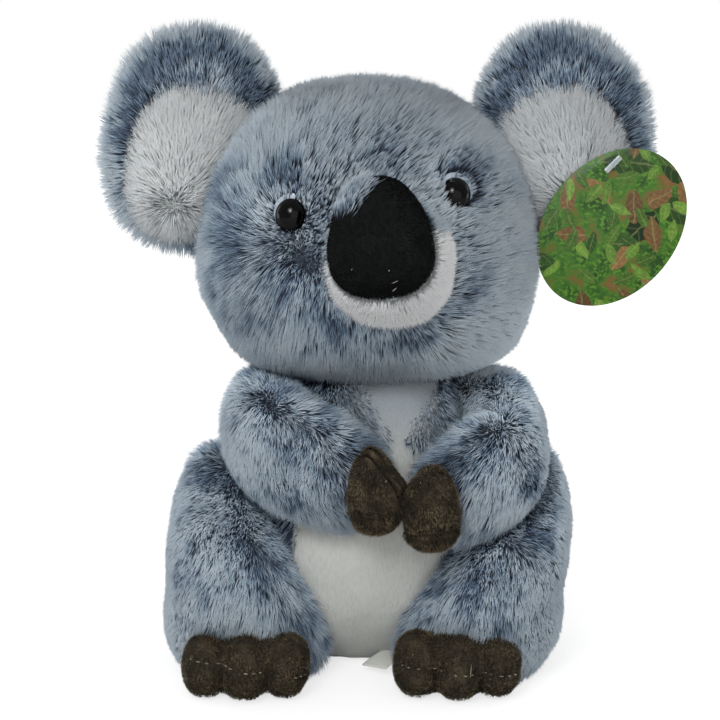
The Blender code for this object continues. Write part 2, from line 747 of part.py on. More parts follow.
def build_tag(pivot, back, lining):
    """The oval card on its plastic pin, which passes through the ear's lining.

    The hole's place from the middle of the ear is given in shares of the ear's width.
    """
    hole_place = ear_middle(1, LEFT_EAR_STANDOUT) + Vector(TAG_HOLE_SHARES) * EAR_WIDTH
    swing = pivot_at("tag_pivot", hole_place, FACING, pivot)
    half = TAG_THICKNESS / 2
    rings = []
    for depth in (-half, half):
        rings.append(oval(CARD_SIDES, Vector((0, depth, 0)), Vector((TAG_LENGTH / 2, 0, 0)),
                          Vector((0, 0, TAG_WIDTH / 2)), CIRCLE_SHARE))
    card = add_rings("card", rings)
    centre = hole_place - Vector((0, 0, TAG_DROP))
    moved(card, Matrix.Translation(centre) @ Matrix.Rotation(-TAG_TILT, 4, "Y"))
    cut(card, rod("hole", hole_place - FACING * OVERRUN, hole_place + FACING * OVERRUN, TAG_HOLE / 2))
    finish(card, "hang_tag", CARD_GREEN, CARD_ROUGHNESS, swing)

    _, seat, _, _ = back.ray_cast(Vector((hole_place.x, -reach(), hole_place.z)), -FACING)
    thick = PIN_DIAMETER / 2
    along = Vector((math.cos(PIN_PADDLE_TURN), 0, math.sin(PIN_PADDLE_TURN))) * (PIN_PADDLE_LENGTH / 2)
    middle = hole_place + FACING * (half + GAP + PIN_DIAMETER)
    end = Vector((hole_place.x, seat.y - GAP - thick, hole_place.z))
    bar_along = Vector((0, 0, PIN_BAR_LENGTH / 2))
    pin = rod("paddle", middle - along, middle + along, PIN_PADDLE_WIDTH / 2, PIN_SIDES)
    flat = Matrix.Diagonal((1, PIN_DIAMETER / PIN_PADDLE_WIDTH, 1, 1))
    moved(pin, Matrix.Translation(middle) @ flat @ Matrix.Translation(-middle))
    combine(pin, rod("filament", middle, end, thick, PIN_SIDES), "UNION")
    combine(pin, rod("bar", end - bar_along, end + bar_along, thick, PIN_SIDES), "UNION")

    room = thick + GAP
    slot = block("slot", end - bar_along - Vector((room, room, GAP)),
                 end + bar_along + Vector((room, OVERRUN, GAP)))
    cut(lining, rod("filament_hole", middle, end, room, PIN_SIDES), slot)
    finish(pin, "tag_pin", PIN_CLEAR, PIN_ROUGHNESS, pivot)


def build_body():
    """Body skin, belly panel, seat panel, stuffing and the pouch of pellets."""
    shell = body_form("shell")
    cut(shell, body_form("hollow", PILE_FABRIC, OVERRUN))
    combine(shell, slab("above_seat", SEAT_THICKNESS + GAP, reach()), "INTERSECT")
    panel = copy_of(shell, "panel")
    combine(panel, belly_prism(0), "INTERSECT")
    cut(shell, belly_prism(GAP))
    seat = body_form("seat")
    combine(seat, slab("seat_slab", 0, SEAT_THICKNESS), "INTERSECT")
    stuffing = body_form("stuffing", PILE_FABRIC + GAP)
    combine(stuffing, slab("inside", SEAT_THICKNESS + GAP, NECK_HEIGHT - 2 * GAP), "INTERSECT")
    halves = (PELLET_POUCH_WIDTH / 2, PELLET_POUCH_DEPTH / 2, PELLET_POUCH_HEIGHT / 2)
    pouch_place = Matrix.Translation((0, 0, SEAT_THICKNESS + GAP + halves[2] - PELLET_POUCH_FLAT))
    pouch = moved(soft_form("pouch", *halves), pouch_place)
    combine(pouch, slab("on_seat", SEAT_THICKNESS + GAP, reach()), "INTERSECT")
    cut(stuffing, moved(soft_form("recess", *(half + GAP for half in halves)), pouch_place))
    finish(shell, "body_skin", FUR_GREY, PILE_ROUGHNESS)
    finish(panel, "belly_panel", PILE_WHITE, PILE_ROUGHNESS)
    finish(seat, "seat_panel", FUR_GREY, PILE_ROUGHNESS)
    finish(stuffing, "body_stuffing", STUFFING_WHITE, STUFFING_ROUGHNESS)
    finish(pouch, "pellet_pouch", PELLET_TAN, POUCH_ROUGHNESS)


def belly_prism(spare):
    """Everything in front of the belly's outline, wider by spare."""
    right, left = [], []
    count = BELLY_ROW_STEPS * (len(BELLY_ROW_SHARES) - 1)
    for step in range(count + 1):
        height, shift, width = spline(BELLY_ROW_SHARES, step / BELLY_ROW_STEPS)
        middle = shift * BODY_HALF_WIDTH
        half = width * BELLY_HALF_WIDTH + spare
        right.append((middle - half, height * NECK_HEIGHT))
        left.append((middle + half, height * NECK_HEIGHT))
    outline = right + left[::-1]
    return add_rings("belly_prism", [
        [Vector((x, depth, z)) for x, z in outline] for depth in (-reach(), BELLY_REAR)])


def build_limb(shape, turning_start, turning_end, neighbours):
    """A limb's skin and stuffing, both cut by the forms that it is sewn to or lies against."""
    skin = shape(0)
    hollow = shape(PILE_FABRIC)
    stuffing = shape(PILE_FABRIC + 2 * GAP)
    spares = (GAP, GAP + PILE_FABRIC, 3 * GAP + PILE_FABRIC)
    for item, spare in zip((skin, hollow, stuffing), spares):
        for neighbour in neighbours:
            cut(item, neighbour(spare))
    combine(skin, slab("above_floor", 0, reach()), "INTERSECT")
    cut(skin, hollow, rod("turning_hole", turning_start, turning_end, TURNING_HOLE / 2))
    return skin, stuffing


def as_met(form, place, axis, swing):
    """A neighbour's clearance forms as a limb meets them at several shares of its swing."""
    def at_angle(angle):
        return lambda spare: turned_about(form(-spare), place, axis, -angle)
    return [at_angle(swing * share) for share in SWING_SHARES]


def arm_form(route_shares, inset):
    """An arm's rounded form."""
    route = [at_shares(shares) for shares in route_shares]
    across = [share * ARM_THICKNESS for share in ARM_THICKNESS_SHARES]
    upright = [share * ARM_HEIGHT for share in ARM_HEIGHT_SHARES]
    return limb_form("arm", route, across, upright, inset)


def build_arm(side, way, route_shares, hand_shares, hand_tilt, seam, shoulder_shares):
    """An arm and its two-panel hand, hung on the shoulder."""
    axis = Vector((-math.sin(SHOULDER_LEAN), 0, way * math.cos(SHOULDER_LEAN)))
    shoulder = at_shares(shoulder_shares)
    pivot = pivot_at(side + "_shoulder_pivot", shoulder, axis)

    def shape(inset):
        return arm_form(route_shares, inset)

    turning_start = at_shares(route_shares[0])
    met = as_met(body_clearance, shoulder, axis, ARM_SWING)
    skin, stuffing = build_limb(shape, turning_start, at_shares(route_shares[1]), met)
    hand_place = at_shares(hand_shares)
    turn = Matrix.Rotation(hand_tilt, 4, "Y")
    seam_distance, seam_normal = seam
    hand = soft_form("hand", HAND_WIDTH / 2, HAND_DEPTH / 2, HAND_HEIGHT / 2, HAND_SIDES,
                     HAND_STEPS, HAND_ROUNDNESS_SHARE)
    moved(hand, Matrix.Translation(hand_place) @ turn)
    cut(hand, shape(-GAP))
    palm = copy_of(hand, "palm")
    seam_place = hand_place + seam_normal * seam_distance
    cut(hand, half_space("behind", seam_place - seam_normal * (GAP / 2), seam_normal))
    cut(palm, half_space("before", seam_place + seam_normal * (GAP / 2), -seam_normal))
    finish(skin, side + "_arm_skin", FUR_GREY, PILE_ROUGHNESS, pivot)
    finish(stuffing, side + "_arm_stuffing", STUFFING_WHITE, STUFFING_ROUGHNESS, pivot)
    finish(hand, side + "_hand_back", PAW_BROWN, PILE_ROUGHNESS, pivot)
    finish(palm, side + "_hand_palm", PAW_BROWN, PILE_ROUGHNESS, pivot)


def foot_form(x, y):
    """Three toes and the foot behind them, fused."""
    foot = soft_form("foot", FOOT_WIDTH / 2, FOOT_LENGTH / 2, TOE_HEIGHT / 2, HAND_SIDES,
                     TOE_STEPS)
    rise = TOE_HEIGHT / 2 - FLOOR_CUT
    moved(foot, Matrix.Translation((x, y + FOOT_REAR_SHARE * TOE_LENGTH, rise)))
    for toe, (sideways, ahead) in enumerate(TOE_SHARES):
        lobe = soft_form("toe", TOE_WIDTH / 2, TOE_LENGTH / 2, TOE_HEIGHT / 2, TOE_SIDES, TOE_STEPS,
                         TOE_ROUNDNESS_SHARE)
        moved(lobe, Matrix.Translation((x + sideways * TOE_WIDTH, y - ahead * TOE_LENGTH, rise)))
        combine(foot, lobe, "UNION")
    combine(foot, slab("above_floor", 0, reach()), "INTERSECT")
    return foot


def build_leg(side, way, route_shares, lean, hip_shares, foot_shares, arm_shares):
    """A leg and its foot, hung on the hip."""
    route = [at_shares(shares) for shares in route_shares]
    across = [share * LEG_WIDTH for share in LEG_WIDTH_SHARES]
    upright = [share * LEG_HEIGHT for share in LEG_HEIGHT_SHARES]
    hip = at_shares(hip_shares)
    axis = NECK_AXIS * way
    pivot = pivot_at(side + "_hip_pivot", hip, axis)

    def shape(inset):
        return limb_form("leg", route, across, upright, inset, lean, LEG_TAPER_SHARE,
                         LEG_BLUNT_SHARE, LEG_SIDES, LEG_STEPS, LEG_ROUNDNESS_SHARE)

    def arm(inset):
        return arm_form(arm_shares, inset)

    met = as_met(body_clearance, hip, axis, LEG_SPLAY) + as_met(arm, hip, axis, LEG_SPLAY)
    skin, stuffing = build_limb(shape, route[0], route[2], met)
    place = at_shares(foot_shares)
    foot = foot_form(place.x, place.y)
    sole = copy_of(foot, "sole")
    combine(foot, slab("upper", FOOT_SEAM_HEIGHT + GAP / 2, reach()), "INTERSECT")
    combine(sole, slab("lower", -OVERRUN, FOOT_SEAM_HEIGHT - GAP / 2), "INTERSECT")
    cut(foot, shape(-GAP))
    cut(sole, shape(-GAP))
    finish(skin, side + "_leg_skin", FUR_GREY, PILE_ROUGHNESS, pivot)
    finish(stuffing, side + "_leg_stuffing", STUFFING_WHITE, STUFFING_ROUGHNESS, pivot)
    finish(foot, side + "_foot_upper", PAW_BROWN, PILE_ROUGHNESS, pivot)
    finish(sole, side + "_foot_sole", PAW_BROWN, PILE_ROUGHNESS, pivot)


def build_label():
    """The blank fabric label sewn into the front of the seat seam."""
    label = block("label", Vector((-LABEL_WIDTH / 2, -LABEL_LENGTH, 0)),
                  Vector((LABEL_WIDTH / 2, 0, LABEL_THICKNESS)))
    place = at_shares(LABEL_SHARES)
    turn = Matrix.Rotation(LABEL_TURN, 4, "Z") @ Matrix.Rotation(LABEL_SLOPE, 4, "X")
    moved(label, Matrix.Translation(place) @ turn)
    finish(label, "sewn_in_label", LABEL_WHITE, LABEL_ROUGHNESS)


def clear_scene():
    """Start from an empty scene."""
    for item in list(bpy.data.objects):
        bpy.data.objects.remove(item)


def main():
    clear_scene()
    neck = pivot_at("neck_pivot", Vector((NECK_SHIFT, 0, NECK_HEIGHT)), NECK_AXIS)
    build_body()
    build_head(neck)
    pivot, back, lining = build_ear("right", -1, RIGHT_EAR_STANDOUT, RIGHT_EAR_TILT,
                                    RIGHT_LINING_DROP, neck)
    finish(back, "right_ear_back", FUR_GREY, PILE_ROUGHNESS, pivot)
    finish(lining, "right_ear_lining", PILE_WHITE, PILE_ROUGHNESS, pivot)
    pivot, back, lining = build_ear("left", 1, LEFT_EAR_STANDOUT, LEFT_EAR_TILT, LEFT_LINING_DROP,
                                    neck)
    build_tag(pivot, back, lining)
    finish(back, "left_ear_back", FUR_GREY, PILE_ROUGHNESS, pivot)
    finish(lining, "left_ear_lining", PILE_WHITE, PILE_ROUGHNESS, pivot)
    build_arm("right", -1, RIGHT_ARM_ROUTE_SHARES, RIGHT_HAND_SHARES, RIGHT_HAND_TILT,
              (RIGHT_HAND_SEAM_DISTANCE, RIGHT_HAND_SEAM), RIGHT_SHOULDER_SHARES)
    build_arm("left", 1, LEFT_ARM_ROUTE_SHARES, LEFT_HAND_SHARES, LEFT_HAND_TILT,
              (LEFT_HAND_SEAM_DISTANCE, LEFT_HAND_SEAM), LEFT_SHOULDER_SHARES)
    build_leg("right", -1, RIGHT_LEG_ROUTE_SHARES, RIGHT_LEG_LEAN_SHARE, RIGHT_HIP_SHARES,
              RIGHT_FOOT_SHARES, RIGHT_ARM_ROUTE_SHARES)
    build_leg("left", 1, LEFT_LEG_ROUTE_SHARES, LEFT_LEG_LEAN_SHARE, LEFT_HIP_SHARES,
              LEFT_FOOT_SHARES, LEFT_ARM_ROUTE_SHARES)
    build_label()


main()
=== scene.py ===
"""A seated plush koala: long frosted pile, white linings, brown paws, safety eyes, a card tag.

Lengths are in metres. The toy sits on z = 0 and faces -Y; its own left is +X.
"""

import math

import bmesh
import bpy
from mathutils import Matrix, Vector, noise


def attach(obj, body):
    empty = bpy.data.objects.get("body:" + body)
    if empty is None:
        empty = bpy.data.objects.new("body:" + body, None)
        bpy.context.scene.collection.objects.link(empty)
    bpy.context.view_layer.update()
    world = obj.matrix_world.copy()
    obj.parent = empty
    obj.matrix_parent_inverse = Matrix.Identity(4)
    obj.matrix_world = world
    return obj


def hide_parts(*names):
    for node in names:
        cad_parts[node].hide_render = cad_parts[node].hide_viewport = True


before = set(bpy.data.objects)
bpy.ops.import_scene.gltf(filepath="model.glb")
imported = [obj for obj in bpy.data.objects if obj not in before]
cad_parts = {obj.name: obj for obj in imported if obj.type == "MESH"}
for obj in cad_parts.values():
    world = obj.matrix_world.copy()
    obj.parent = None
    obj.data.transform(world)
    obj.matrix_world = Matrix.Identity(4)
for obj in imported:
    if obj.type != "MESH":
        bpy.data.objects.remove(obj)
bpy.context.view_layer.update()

MM = 0.001
GAP = 0.35 * MM
REACH = 0.45
# Which way each side lies along X
SIGNS = {"right": -1, "left": 1}

# The cut of the toy, as in its pattern
NECK_HEIGHT = 0.114
NECK_SHIFT = 0.004
NECK_RADIUS = 0.029
HEAD_WIDTH = 0.122
HEAD_FRONT = 0.052
HEAD_BACK = 0.047
HEAD_HEIGHT = 0.112
HEAD_SHIFT = 0.001
CHEEK_RISE = 0.036
HEAD_ROUNDNESS = 2.35
ROUNDNESS = 2.3
BODY_HALF_WIDTH = 0.050
BODY_HALF_DEPTH = 0.050
BELLY_HALF_WIDTH = 0.030
BELLY_REAR = -0.012
WEDGE_MIDDLE = 0.0124
EYES = {"right": (-0.028, 0.180), "left": (0.034, 0.1875)}
NOSE_PLACE = Vector((0.0055, -0.060, 0.173))
NOSE_HALVES = (0.0190, 0.019, 0.0225)
NOSE_NARROWING = 0.22
MUZZLE_PLACE = Vector((0.009, -0.044, 0.1615))
MUZZLE_HALVES = (0.02225, 0.022, 0.0215)
EAR_PLACES = {"right": Vector((-0.068, 0.006, 0.205)), "left": Vector((0.0785, 0.006, 0.205))}
EAR_TILTS = {"right": math.radians(10), "left": math.radians(-10)}
EAR_HALVES = (0.032, 0.010, 0.041)
LINING_HALVES = (0.022, 0.0065, 0.026)
LINING_DROP = 0.009
LINING_FORWARD = -0.006
BODY_ROWS = (
    (0.00, 0.00, 0.66, 0.44, 0.74),
    (0.05, 0.00, 0.86, 0.66, 0.92),
    (0.14, 0.00, 0.98, 0.84, 1.02),
    (0.27, 0.02, 1.01, 0.95, 1.04),
    (0.43, 0.05, 0.95, 1.00, 0.99),
    (0.60, 0.09, 0.80, 0.96, 0.88),
    (0.77, 0.11, 0.66, 0.86, 0.76),
    (0.90, 0.10, 0.60, 0.70, 0.64),
    (1.00, 0.08, 0.58, 0.52, 0.50),
)
BELLY_ROWS = (
    (-0.10, 0.00, 0.60),
    (0.10, 0.00, 0.78),
    (0.30, 0.01, 0.95),
    (0.50, 0.05, 1.00),
    (0.75, 0.12, 0.86),
    (1.10, 0.16, 0.62),
)
ARM_ROUTES = {
    "right": ((-0.20, 0.30, 0.83), (-0.78, -0.14, 0.83), (-0.70, -0.76, 0.79),
              (-0.30, -1.02, 0.73), (0.10, -1.12, 0.68)),
    "left": ((0.44, 0.30, 0.83), (1.04, -0.14, 0.82), (1.10, -0.76, 0.73),
             (0.82, -1.02, 0.68), (0.46, -1.12, 0.64)),
}
ARM_ACROSS = [0.026 * share for share in (0.94, 1.00, 1.04, 1.00, 0.78)]
ARM_UPRIGHT = [0.036 * share for share in (0.90, 1.00, 1.06, 1.10, 0.92)]
LEG_ROUTES = {
    "right": ((-0.44, 0.62, 0.31), (-0.90, 0.10, 0.35), (-0.98, -0.50, 0.285),
              (-0.94, -1.00, 0.235), (-0.90, -1.34, 0.185)),
    "left": ((0.46, 0.62, 0.31), (0.92, 0.10, 0.35), (0.98, -0.50, 0.285),
             (0.86, -1.00, 0.235), (0.74, -1.34, 0.185)),
}
LEG_ACROSS = [0.055 * share for share in (0.85, 1.00, 1.02, 0.98, 0.90)]
LEG_UPRIGHT = [0.081 * share for share in (0.85, 1.00, 0.82, 0.68, 0.54)]
LEG_LEANS = {"right": -0.30, "left": 0.48}
# Each hand: its place, its tilt, the way that its seam faces and how far off its middle that is
HANDS = {
    "right": ((0.07, -1.42, 0.685), math.radians(4),
              Vector((0.74, 0.40, 0.54)).normalized(), 0.005),
    "left": ((0.50, -1.42, 0.635), math.radians(-6),
             Vector((0.10, 0.05, -0.98)).normalized(), 0.0080),
}
HAND_HALVES = (0.0098, 0.009, 0.0155)
FEET = {"right": (-0.91, -1.42), "left": (0.70, -1.42)}
FOOT_HALVES = (0.022, 0.023, 0.0115)
FOOT_LENGTH = 0.034
FOOT_SINK = 0.0005
TOE_HALVES = (0.0087, 0.017, 0.0115)
TOE_SPACING = 0.0174
# Each foot's seam: its height at the foot's middle and its slope
SEAMS = {"right": (0.0131, -0.17), "left": (0.0122, -0.085)}
EYE_RADIUS, EYE_RISE = 0.0060, 0.0050
# The room that the pile leaves open about each eye
EYE_ROOM = {"right": Vector((0, 0, 0.0010)), "left": Vector((0.0034, 0, 0.0034))}
EYE_ROOM_RADIUS, EYE_ROOM_RISE = 0.0076, 0.0052
TAG_HOLE = Vector((0.097, -0.014, 0.197))
TAG_HALVES = (0.034, 0.026)
TAG_HALF_THICKNESS = 0.0004
TAG_DROP = 0.025
TAG_TURN = math.radians(-51)
# Loose threads: place across and up, half length, and the way that they lie in degrees
HAND_FLUFF = {"right": ((0.0072, 0.0838, 0.0004, 60),),
              "left": ((0.0232, 0.0862, 0.0004, 80), (0.0211, 0.0825, 0.0003, 110))}
NOSE_FLUFF = ((-0.0045, 0.1632, 0.0003, 40), (0.0085, 0.1631, 0.0004, 100),
              (0.0107, 0.1590, 0.0012, 25), (0.0105, 0.1562, 0.0013, 65))
FOOT_FLUFF = {"right": (), "left": ((0.0385, 0.0135, 0.0024, 68),)}
# How the pile of the face was brushed: place across and up, and the way that it lies in degrees
BRUSHED = (
    (-0.058, 0.205, 80), (-0.036, 0.214, 62), (-0.004, 0.223, 48), (0.023, 0.214, 36),
    (0.046, 0.195, 35), (-0.013, 0.190, 52), (-0.049, 0.182, 88), (-0.022, 0.177, 65),
    (0.050, 0.177, 22), (0.050, 0.159, 12), (0.032, 0.150, 25), (0.041, 0.136, -8),
    (-0.054, 0.164, 200), (-0.040, 0.150, 258), (-0.022, 0.141, 275), (-0.040, 0.127, 255),
    (0.001, 0.131, 272), (0.014, 0.123, 280), (0.046, 0.127, 325),
)
# Where the pile lies open and shows its dark roots: place across and up, and reach
PARTED = (
    (-0.030, 0.193, 0.007), (0.006, 0.201, 0.009), (0.043, 0.188, 0.007), (0.037, 0.198, 0.005),
    (-0.054, 0.183, 0.006), (-0.047, 0.174, 0.006), (-0.018, 0.163, 0.006),
    (-0.049, 0.166, 0.008), (-0.007, 0.138, 0.005), (0.013, 0.134, 0.004),
    (0.028, 0.144, 0.004), (-0.036, 0.115, 0.008), (-0.019, 0.106, 0.006), (-0.003, 0.092, 0.005),
    (0.042, 0.118, 0.007), (0.034, 0.086, 0.006), (-0.058, 0.073, 0.006), (-0.045, 0.074, 0.006),
    (-0.037, 0.057, 0.006), (-0.039, 0.043, 0.006), (0.067, 0.078, 0.007), (0.061, 0.058, 0.006),
    (0.055, 0.042, 0.006), (0.052, 0.030, 0.005),
)


# ---------------------------------------------------------------- node trees

class Value:
    """A socket of a tree, with Python's operators standing for its Math nodes."""

    def __init__(self, board, socket):
        self.board = board
        self.socket = socket

    def maths(self, operation, *others):
        values = dict(enumerate((self,) + others))
        return self.board.out("ShaderNodeMath", {"operation": operation}, values)

    def __add__(self, other):
        return self.maths("ADD", other)

    def __sub__(self, other):
        return self.maths("SUBTRACT", other)

    def __rsub__(self, other):
        return (self * -1.0) + other

    def __mul__(self, other):
        return self.maths("MULTIPLY", other)

    __rmul__ = __mul__

    def __truediv__(self, other):
        return self.maths("DIVIDE", other)

    def __rtruediv__(self, other):
        return other * self.maths("POWER", -1.0)

    def between(self, low, high):
        """0 below low, 1 above high and smooth in between."""
        return self.board.out("ShaderNodeMapRange", {"interpolation_type": "SMOOTHSTEP"},
                              {"Value": self, "From Min": low, "From Max": high})


class Board:
    """A node tree and the one way in which a node is added to it."""

    def __init__(self, tree):
        self.tree = tree

    def add(self, kind, settings=None, values=None):
        made = self.tree.nodes.new(kind)
        for name, setting in (settings or {}).items():
            if name == "stops":
                ramp = made.color_ramp
                while len(ramp.elements) < len(setting):
                    ramp.elements.new(0.5)
                for stop, (place, colour) in zip(ramp.elements, setting):
                    stop.position = place
                    stop.color = colour
            else:
                setattr(made, name, setting)
        for key, value in (values or {}).items():
            if isinstance(value, Value):
                self.tree.links.new(value.socket, made.inputs[key])
            else:
                made.inputs[key].default_value = value
        return made

    def out(self, kind, settings=None, values=None, output=0):
        return Value(self, self.add(kind, settings, values).outputs[output])

    def vector(self, operation, *vectors):
        output = 1 if operation in ("DOT_PRODUCT", "LENGTH") else 0
        return self.out("ShaderNodeVectorMath", {"operation": operation},
                        dict(enumerate(vectors)), output)

    def scaled(self, vector, size):
        return self.out("ShaderNodeVectorMath", {"operation": "SCALE"}, {0: vector, "Scale": size})

    def mixed(self, share, first, second):
        """Two colours, mixed by a share."""
        return self.out("ShaderNodeMix", {"data_type": "RGBA"}, {0: share, 6: first, 7: second}, 2)

    def parts(self, vector):
        """The three numbers of a vector or a colour."""
        made = self.add("ShaderNodeSeparateXYZ", {}, {0: vector})
        return [Value(self, socket) for socket in made.outputs]

    def place(self):
        """The piece's own coordinates."""
        return self.out("ShaderNodeTexCoord", output=3)

    def drift(self, place, scale, detail=2.0):
        """A soft wander, about nought, by noise in three directions."""
        cloud = self.out("ShaderNodeTexNoise", {}, {
            "Vector": place, "Scale": scale, "Detail": detail}, 1)
        return self.vector("SUBTRACT", cloud, (0.5, 0.5, 0.5))


def rgb(text):
    """A linear colour with alpha from six hex digits as they show on a screen."""
    parts = [int(text[place:place + 2], 16) / 255 for place in (0, 2, 4)]
    return tuple(part / 12.92 if part <= 0.04045 else ((part + 0.055) / 1.055) ** 2.4
                 for part in parts) + (1.0,)


def shades(text):
    """The linear colours of several sixes of hex digits with spaces between them."""
    return [rgb(part) for part in text.split()]


def finish(name, roughness, coat=0.0, sheen=0.0, gleam=0.5):
    """A new Principled finish: its board and its shader node; gleam is its specular level."""
    made = bpy.data.materials.new(name)
    made.use_nodes = True
    shader = made.node_tree.nodes["Principled BSDF"]
    for key, value in (("Roughness", roughness), ("Specular IOR Level", gleam),
                       ("Coat Weight", coat), ("Coat Roughness", 0.04),
                       ("Sheen Weight", sheen), ("Sheen Roughness", 0.4)):
        shader.inputs[key].default_value = value
    return made, Board(made.node_tree), shader


def grain(board, size, detail=2.0, place=None):
    """Noise on the piece's own coordinates, or on others; size is the width of one mottle."""
    return board.out("ShaderNodeTexNoise", {}, {
        "Vector": place or board.place(), "Scale": 1 / size, "Detail": detail})


def bumped(board, shader, height, distance, strength=0.6):
    made = board.add("ShaderNodeBump", {}, {"Height": height, "Distance": distance,
                                            "Strength": strength})
    board.tree.links.new(made.outputs[0], shader.inputs["Normal"])


def coloured(board, shader, colour):
    board.tree.links.new(colour.socket, shader.inputs["Base Color"])


# ---------------------------------------------------------------- finishes

def pile_finish(name, colours, turn=0.62, sheen=0.12, gleam=0.3):
    """Dyed pile: a strand is dark at its root and frosted towards its tip.

    The strand's own map holds its length along U and its paleness along V.
    """
    root, middle, tip, pale = shades(colours)
    made, board, shader = finish(name, 0.7, sheen=sheen, gleam=gleam)
    along, paleness, _ = board.parts(board.out("ShaderNodeUVMap", {"uv_map": "OFBake"}))
    lower = (along * 2.2 - (1.0 - paleness) * 0.8).between(0.0, 1.0)
    upper = ((along - (turn - paleness * 0.55)) * 2.6).between(0.0, 1.0)
    frost = (paleness + (along - 0.8) * 1.2).between(0.0, 1.0)
    colour = board.mixed(lower, root, middle)
    coloured(board, shader, board.mixed(upper, colour, board.mixed(frost, tip, pale)))
    return made


def backing_finish(name, colours):
    """Knitted backing cloth at the foot of the pile."""
    dark, light = shades(colours)
    made, board, shader = finish(name, 0.95)
    knit = board.out("ShaderNodeTexVoronoi", {}, {"Vector": board.place(), "Scale": 1400.0})
    patch = grain(board, 0.006)
    coloured(board, shader, board.mixed(patch.between(0.3, 0.7), dark, light))
    bumped(board, shader, knit, 0.0003)
    return made


def velvet_finish(name, colours):
    """Short-pile velvet: streaks where the nap lies over, and paler worn patches."""
    deep, body, worn = shades(colours)
    made, board, shader = finish(name, 0.9, gleam=0.06)
    place = board.place()
    bent = board.vector("ADD", place, board.scaled(board.drift(place, 160.0), 0.004))
    streak = grain(board, 0.0011, 3.0, board.vector("MULTIPLY", bent, (1.0, 1.0, 0.35)))
    patch = grain(board, 0.009, 3.0)
    colour = board.mixed(streak.between(0.38, 0.68), deep, body)
    colour = board.mixed(patch.between(0.45, 0.75) * 0.6, colour, worn)
    coloured(board, shader, colour)
    bumped(board, shader, streak + patch * 0.6, 0.0007)
    return made


def short_pile_finish(name, colours):
    """Smooth short white pile, brushed down, with soft hollows, and painted shade at its top, under
    the head, and at its foot.
    """
    # pale pile, its darker mottle that also serves as painted shade, and a painted shadow grey for
    # under the head
    pale, dark_mottle_and_shade, top = shades(colours)
    made, board, shader = finish(name, 0.9, sheen=0.1, gleam=0.2)
    fine = grain(board, 0.0009, 4.0, board.vector("MULTIPLY", board.place(), (1.0, 1.0, 0.30)))
    soft = grain(board, 0.014)
    height = board.parts(board.place())[2]
    low = 1.0 - height.between(0.004, 0.070)
    colour = board.mixed(fine.between(0.25, 0.75) * 0.35 + soft * 0.25, pale, dark_mottle_and_shade)
    # painted shade that darkens the pile towards its foot
    colour = board.mixed(low * 0.35, colour, dark_mottle_and_shade)
    # painted shadow of the head over the top of the chest
    coloured(board, shader, board.mixed(height.between(0.072, 0.108) * 0.8, colour, top))
    bumped(board, shader, fine + soft * 1.5, 0.0009, 0.7)
    return made


def plastic_finish(name, colours, roughness, coat=0.0, gleam=0.5):
    """Moulded plastic, or thread, with faint clouds of a second shade."""
    main, cloud = shades(colours)
    made, board, shader = finish(name, roughness, coat, gleam=gleam)
    coloured(board, shader, board.mixed(grain(board, 0.003, 3.0).between(0.35, 0.7), main, cloud))
    bumped(board, shader, grain(board, 0.0012), 0.00003, 0.3)
    return made


# ---------------------------------------------------------------- forms

def signed_power(value, exponent):
    return math.copysign(abs(value) ** exponent, value)


def spline(rows, place):
    """A smooth value between rows; place runs from 0 to the last row's number."""
    index = min(int(place), len(rows) - 2)
    share = place - index
    first = rows[max(index - 1, 0)]
    last = rows[min(index + 2, len(rows) - 1)]
    values = []
    for before, a, b, after in zip(first, rows[index], rows[index + 1], last):
        slope_a = (b - before) / 2
        slope_b = (after - a) / 2
        values.append(a * (2 * share ** 3 - 3 * share ** 2 + 1)
                      + slope_a * (share ** 3 - 2 * share ** 2 + share)
                      + b * (3 * share ** 2 - 2 * share ** 3)
                      + slope_b * (share ** 3 - share ** 2))
    return values


def piece_of(name, mesh):
    item = bpy.data.objects.new(name, mesh)
    bpy.context.scene.collection.objects.link(item)
    return item


def signed_volume(mesh):
    total = 0.0
    for face in mesh.polygons:
        corners = [mesh.vertices[index].co for index in face.vertices]
        for second, third in zip(corners[1:], corners[2:]):
            total += corners[0].dot(second.cross(third)) / 6
    return total


def add_rings(name, rings):
    """A closed mesh through rings; a ring of one point is a pole, other ends get a cap."""
    points, starts, faces = [], [], []
    for ring in rings:
        starts.append(len(points))
        points.extend(ring)
    for number in range(len(rings) - 1):
        low, high = starts[number], starts[number + 1]
        sides = max(len(rings[number]), len(rings[number + 1]))
        for side in range(sides):
            following = (side + 1) % sides
            if len(rings[number]) == 1:
                faces.append((low, high + following, high + side))
            elif len(rings[number + 1]) == 1:
                faces.append((low + side, low + following, high))
            else:
                faces.append((low + side, low + following, high + following, high + side))
    if len(rings[0]) > 1:
        faces.append(tuple(reversed(range(starts[0], starts[0] + len(rings[0])))))
    if len(rings[-1]) > 1:
        faces.append(tuple(range(starts[-1], starts[-1] + len(rings[-1]))))
    mesh = bpy.data.meshes.new(name)
    mesh.from_pydata([tuple(point) for point in points], [], faces)
    mesh.update()
    if signed_volume(mesh) < 0:
        mesh.flip_normals()
    mesh.shade_smooth()
    return piece_of(name, mesh)


def oval(sides, centre, along, upright, roundness):
    ring = []
    for side in range(sides):
        angle = math.tau * side / sides
        ring.append(centre + along * signed_power(math.cos(angle), 2 / roundness)
                    + upright * signed_power(math.sin(angle), 2 / roundness))
    return ring


def level_ring(sides, x, z, half_width, front, back):
    ring = []
    for side in range(sides):
        angle = math.tau * side / sides
        depth = back if math.sin(angle) > 0 else front
        ring.append(Vector((x + half_width * signed_power(math.cos(angle), 2 / ROUNDNESS),
                            depth * signed_power(math.sin(angle), 2 / ROUNDNESS), z)))
    return ring


def turned(name, profile, sides):
    """A turned piece about Z from (radius, height) pairs, listed from its top to its foot."""
    rings = []
    for radius, height in profile:
        centre = Vector((0, 0, height))
        if radius == 0:
            rings.append([centre])
        else:
            rings.append(oval(sides, centre, Vector((radius, 0, 0)), Vector((0, radius, 0)), 2))
    return add_rings(name, rings)


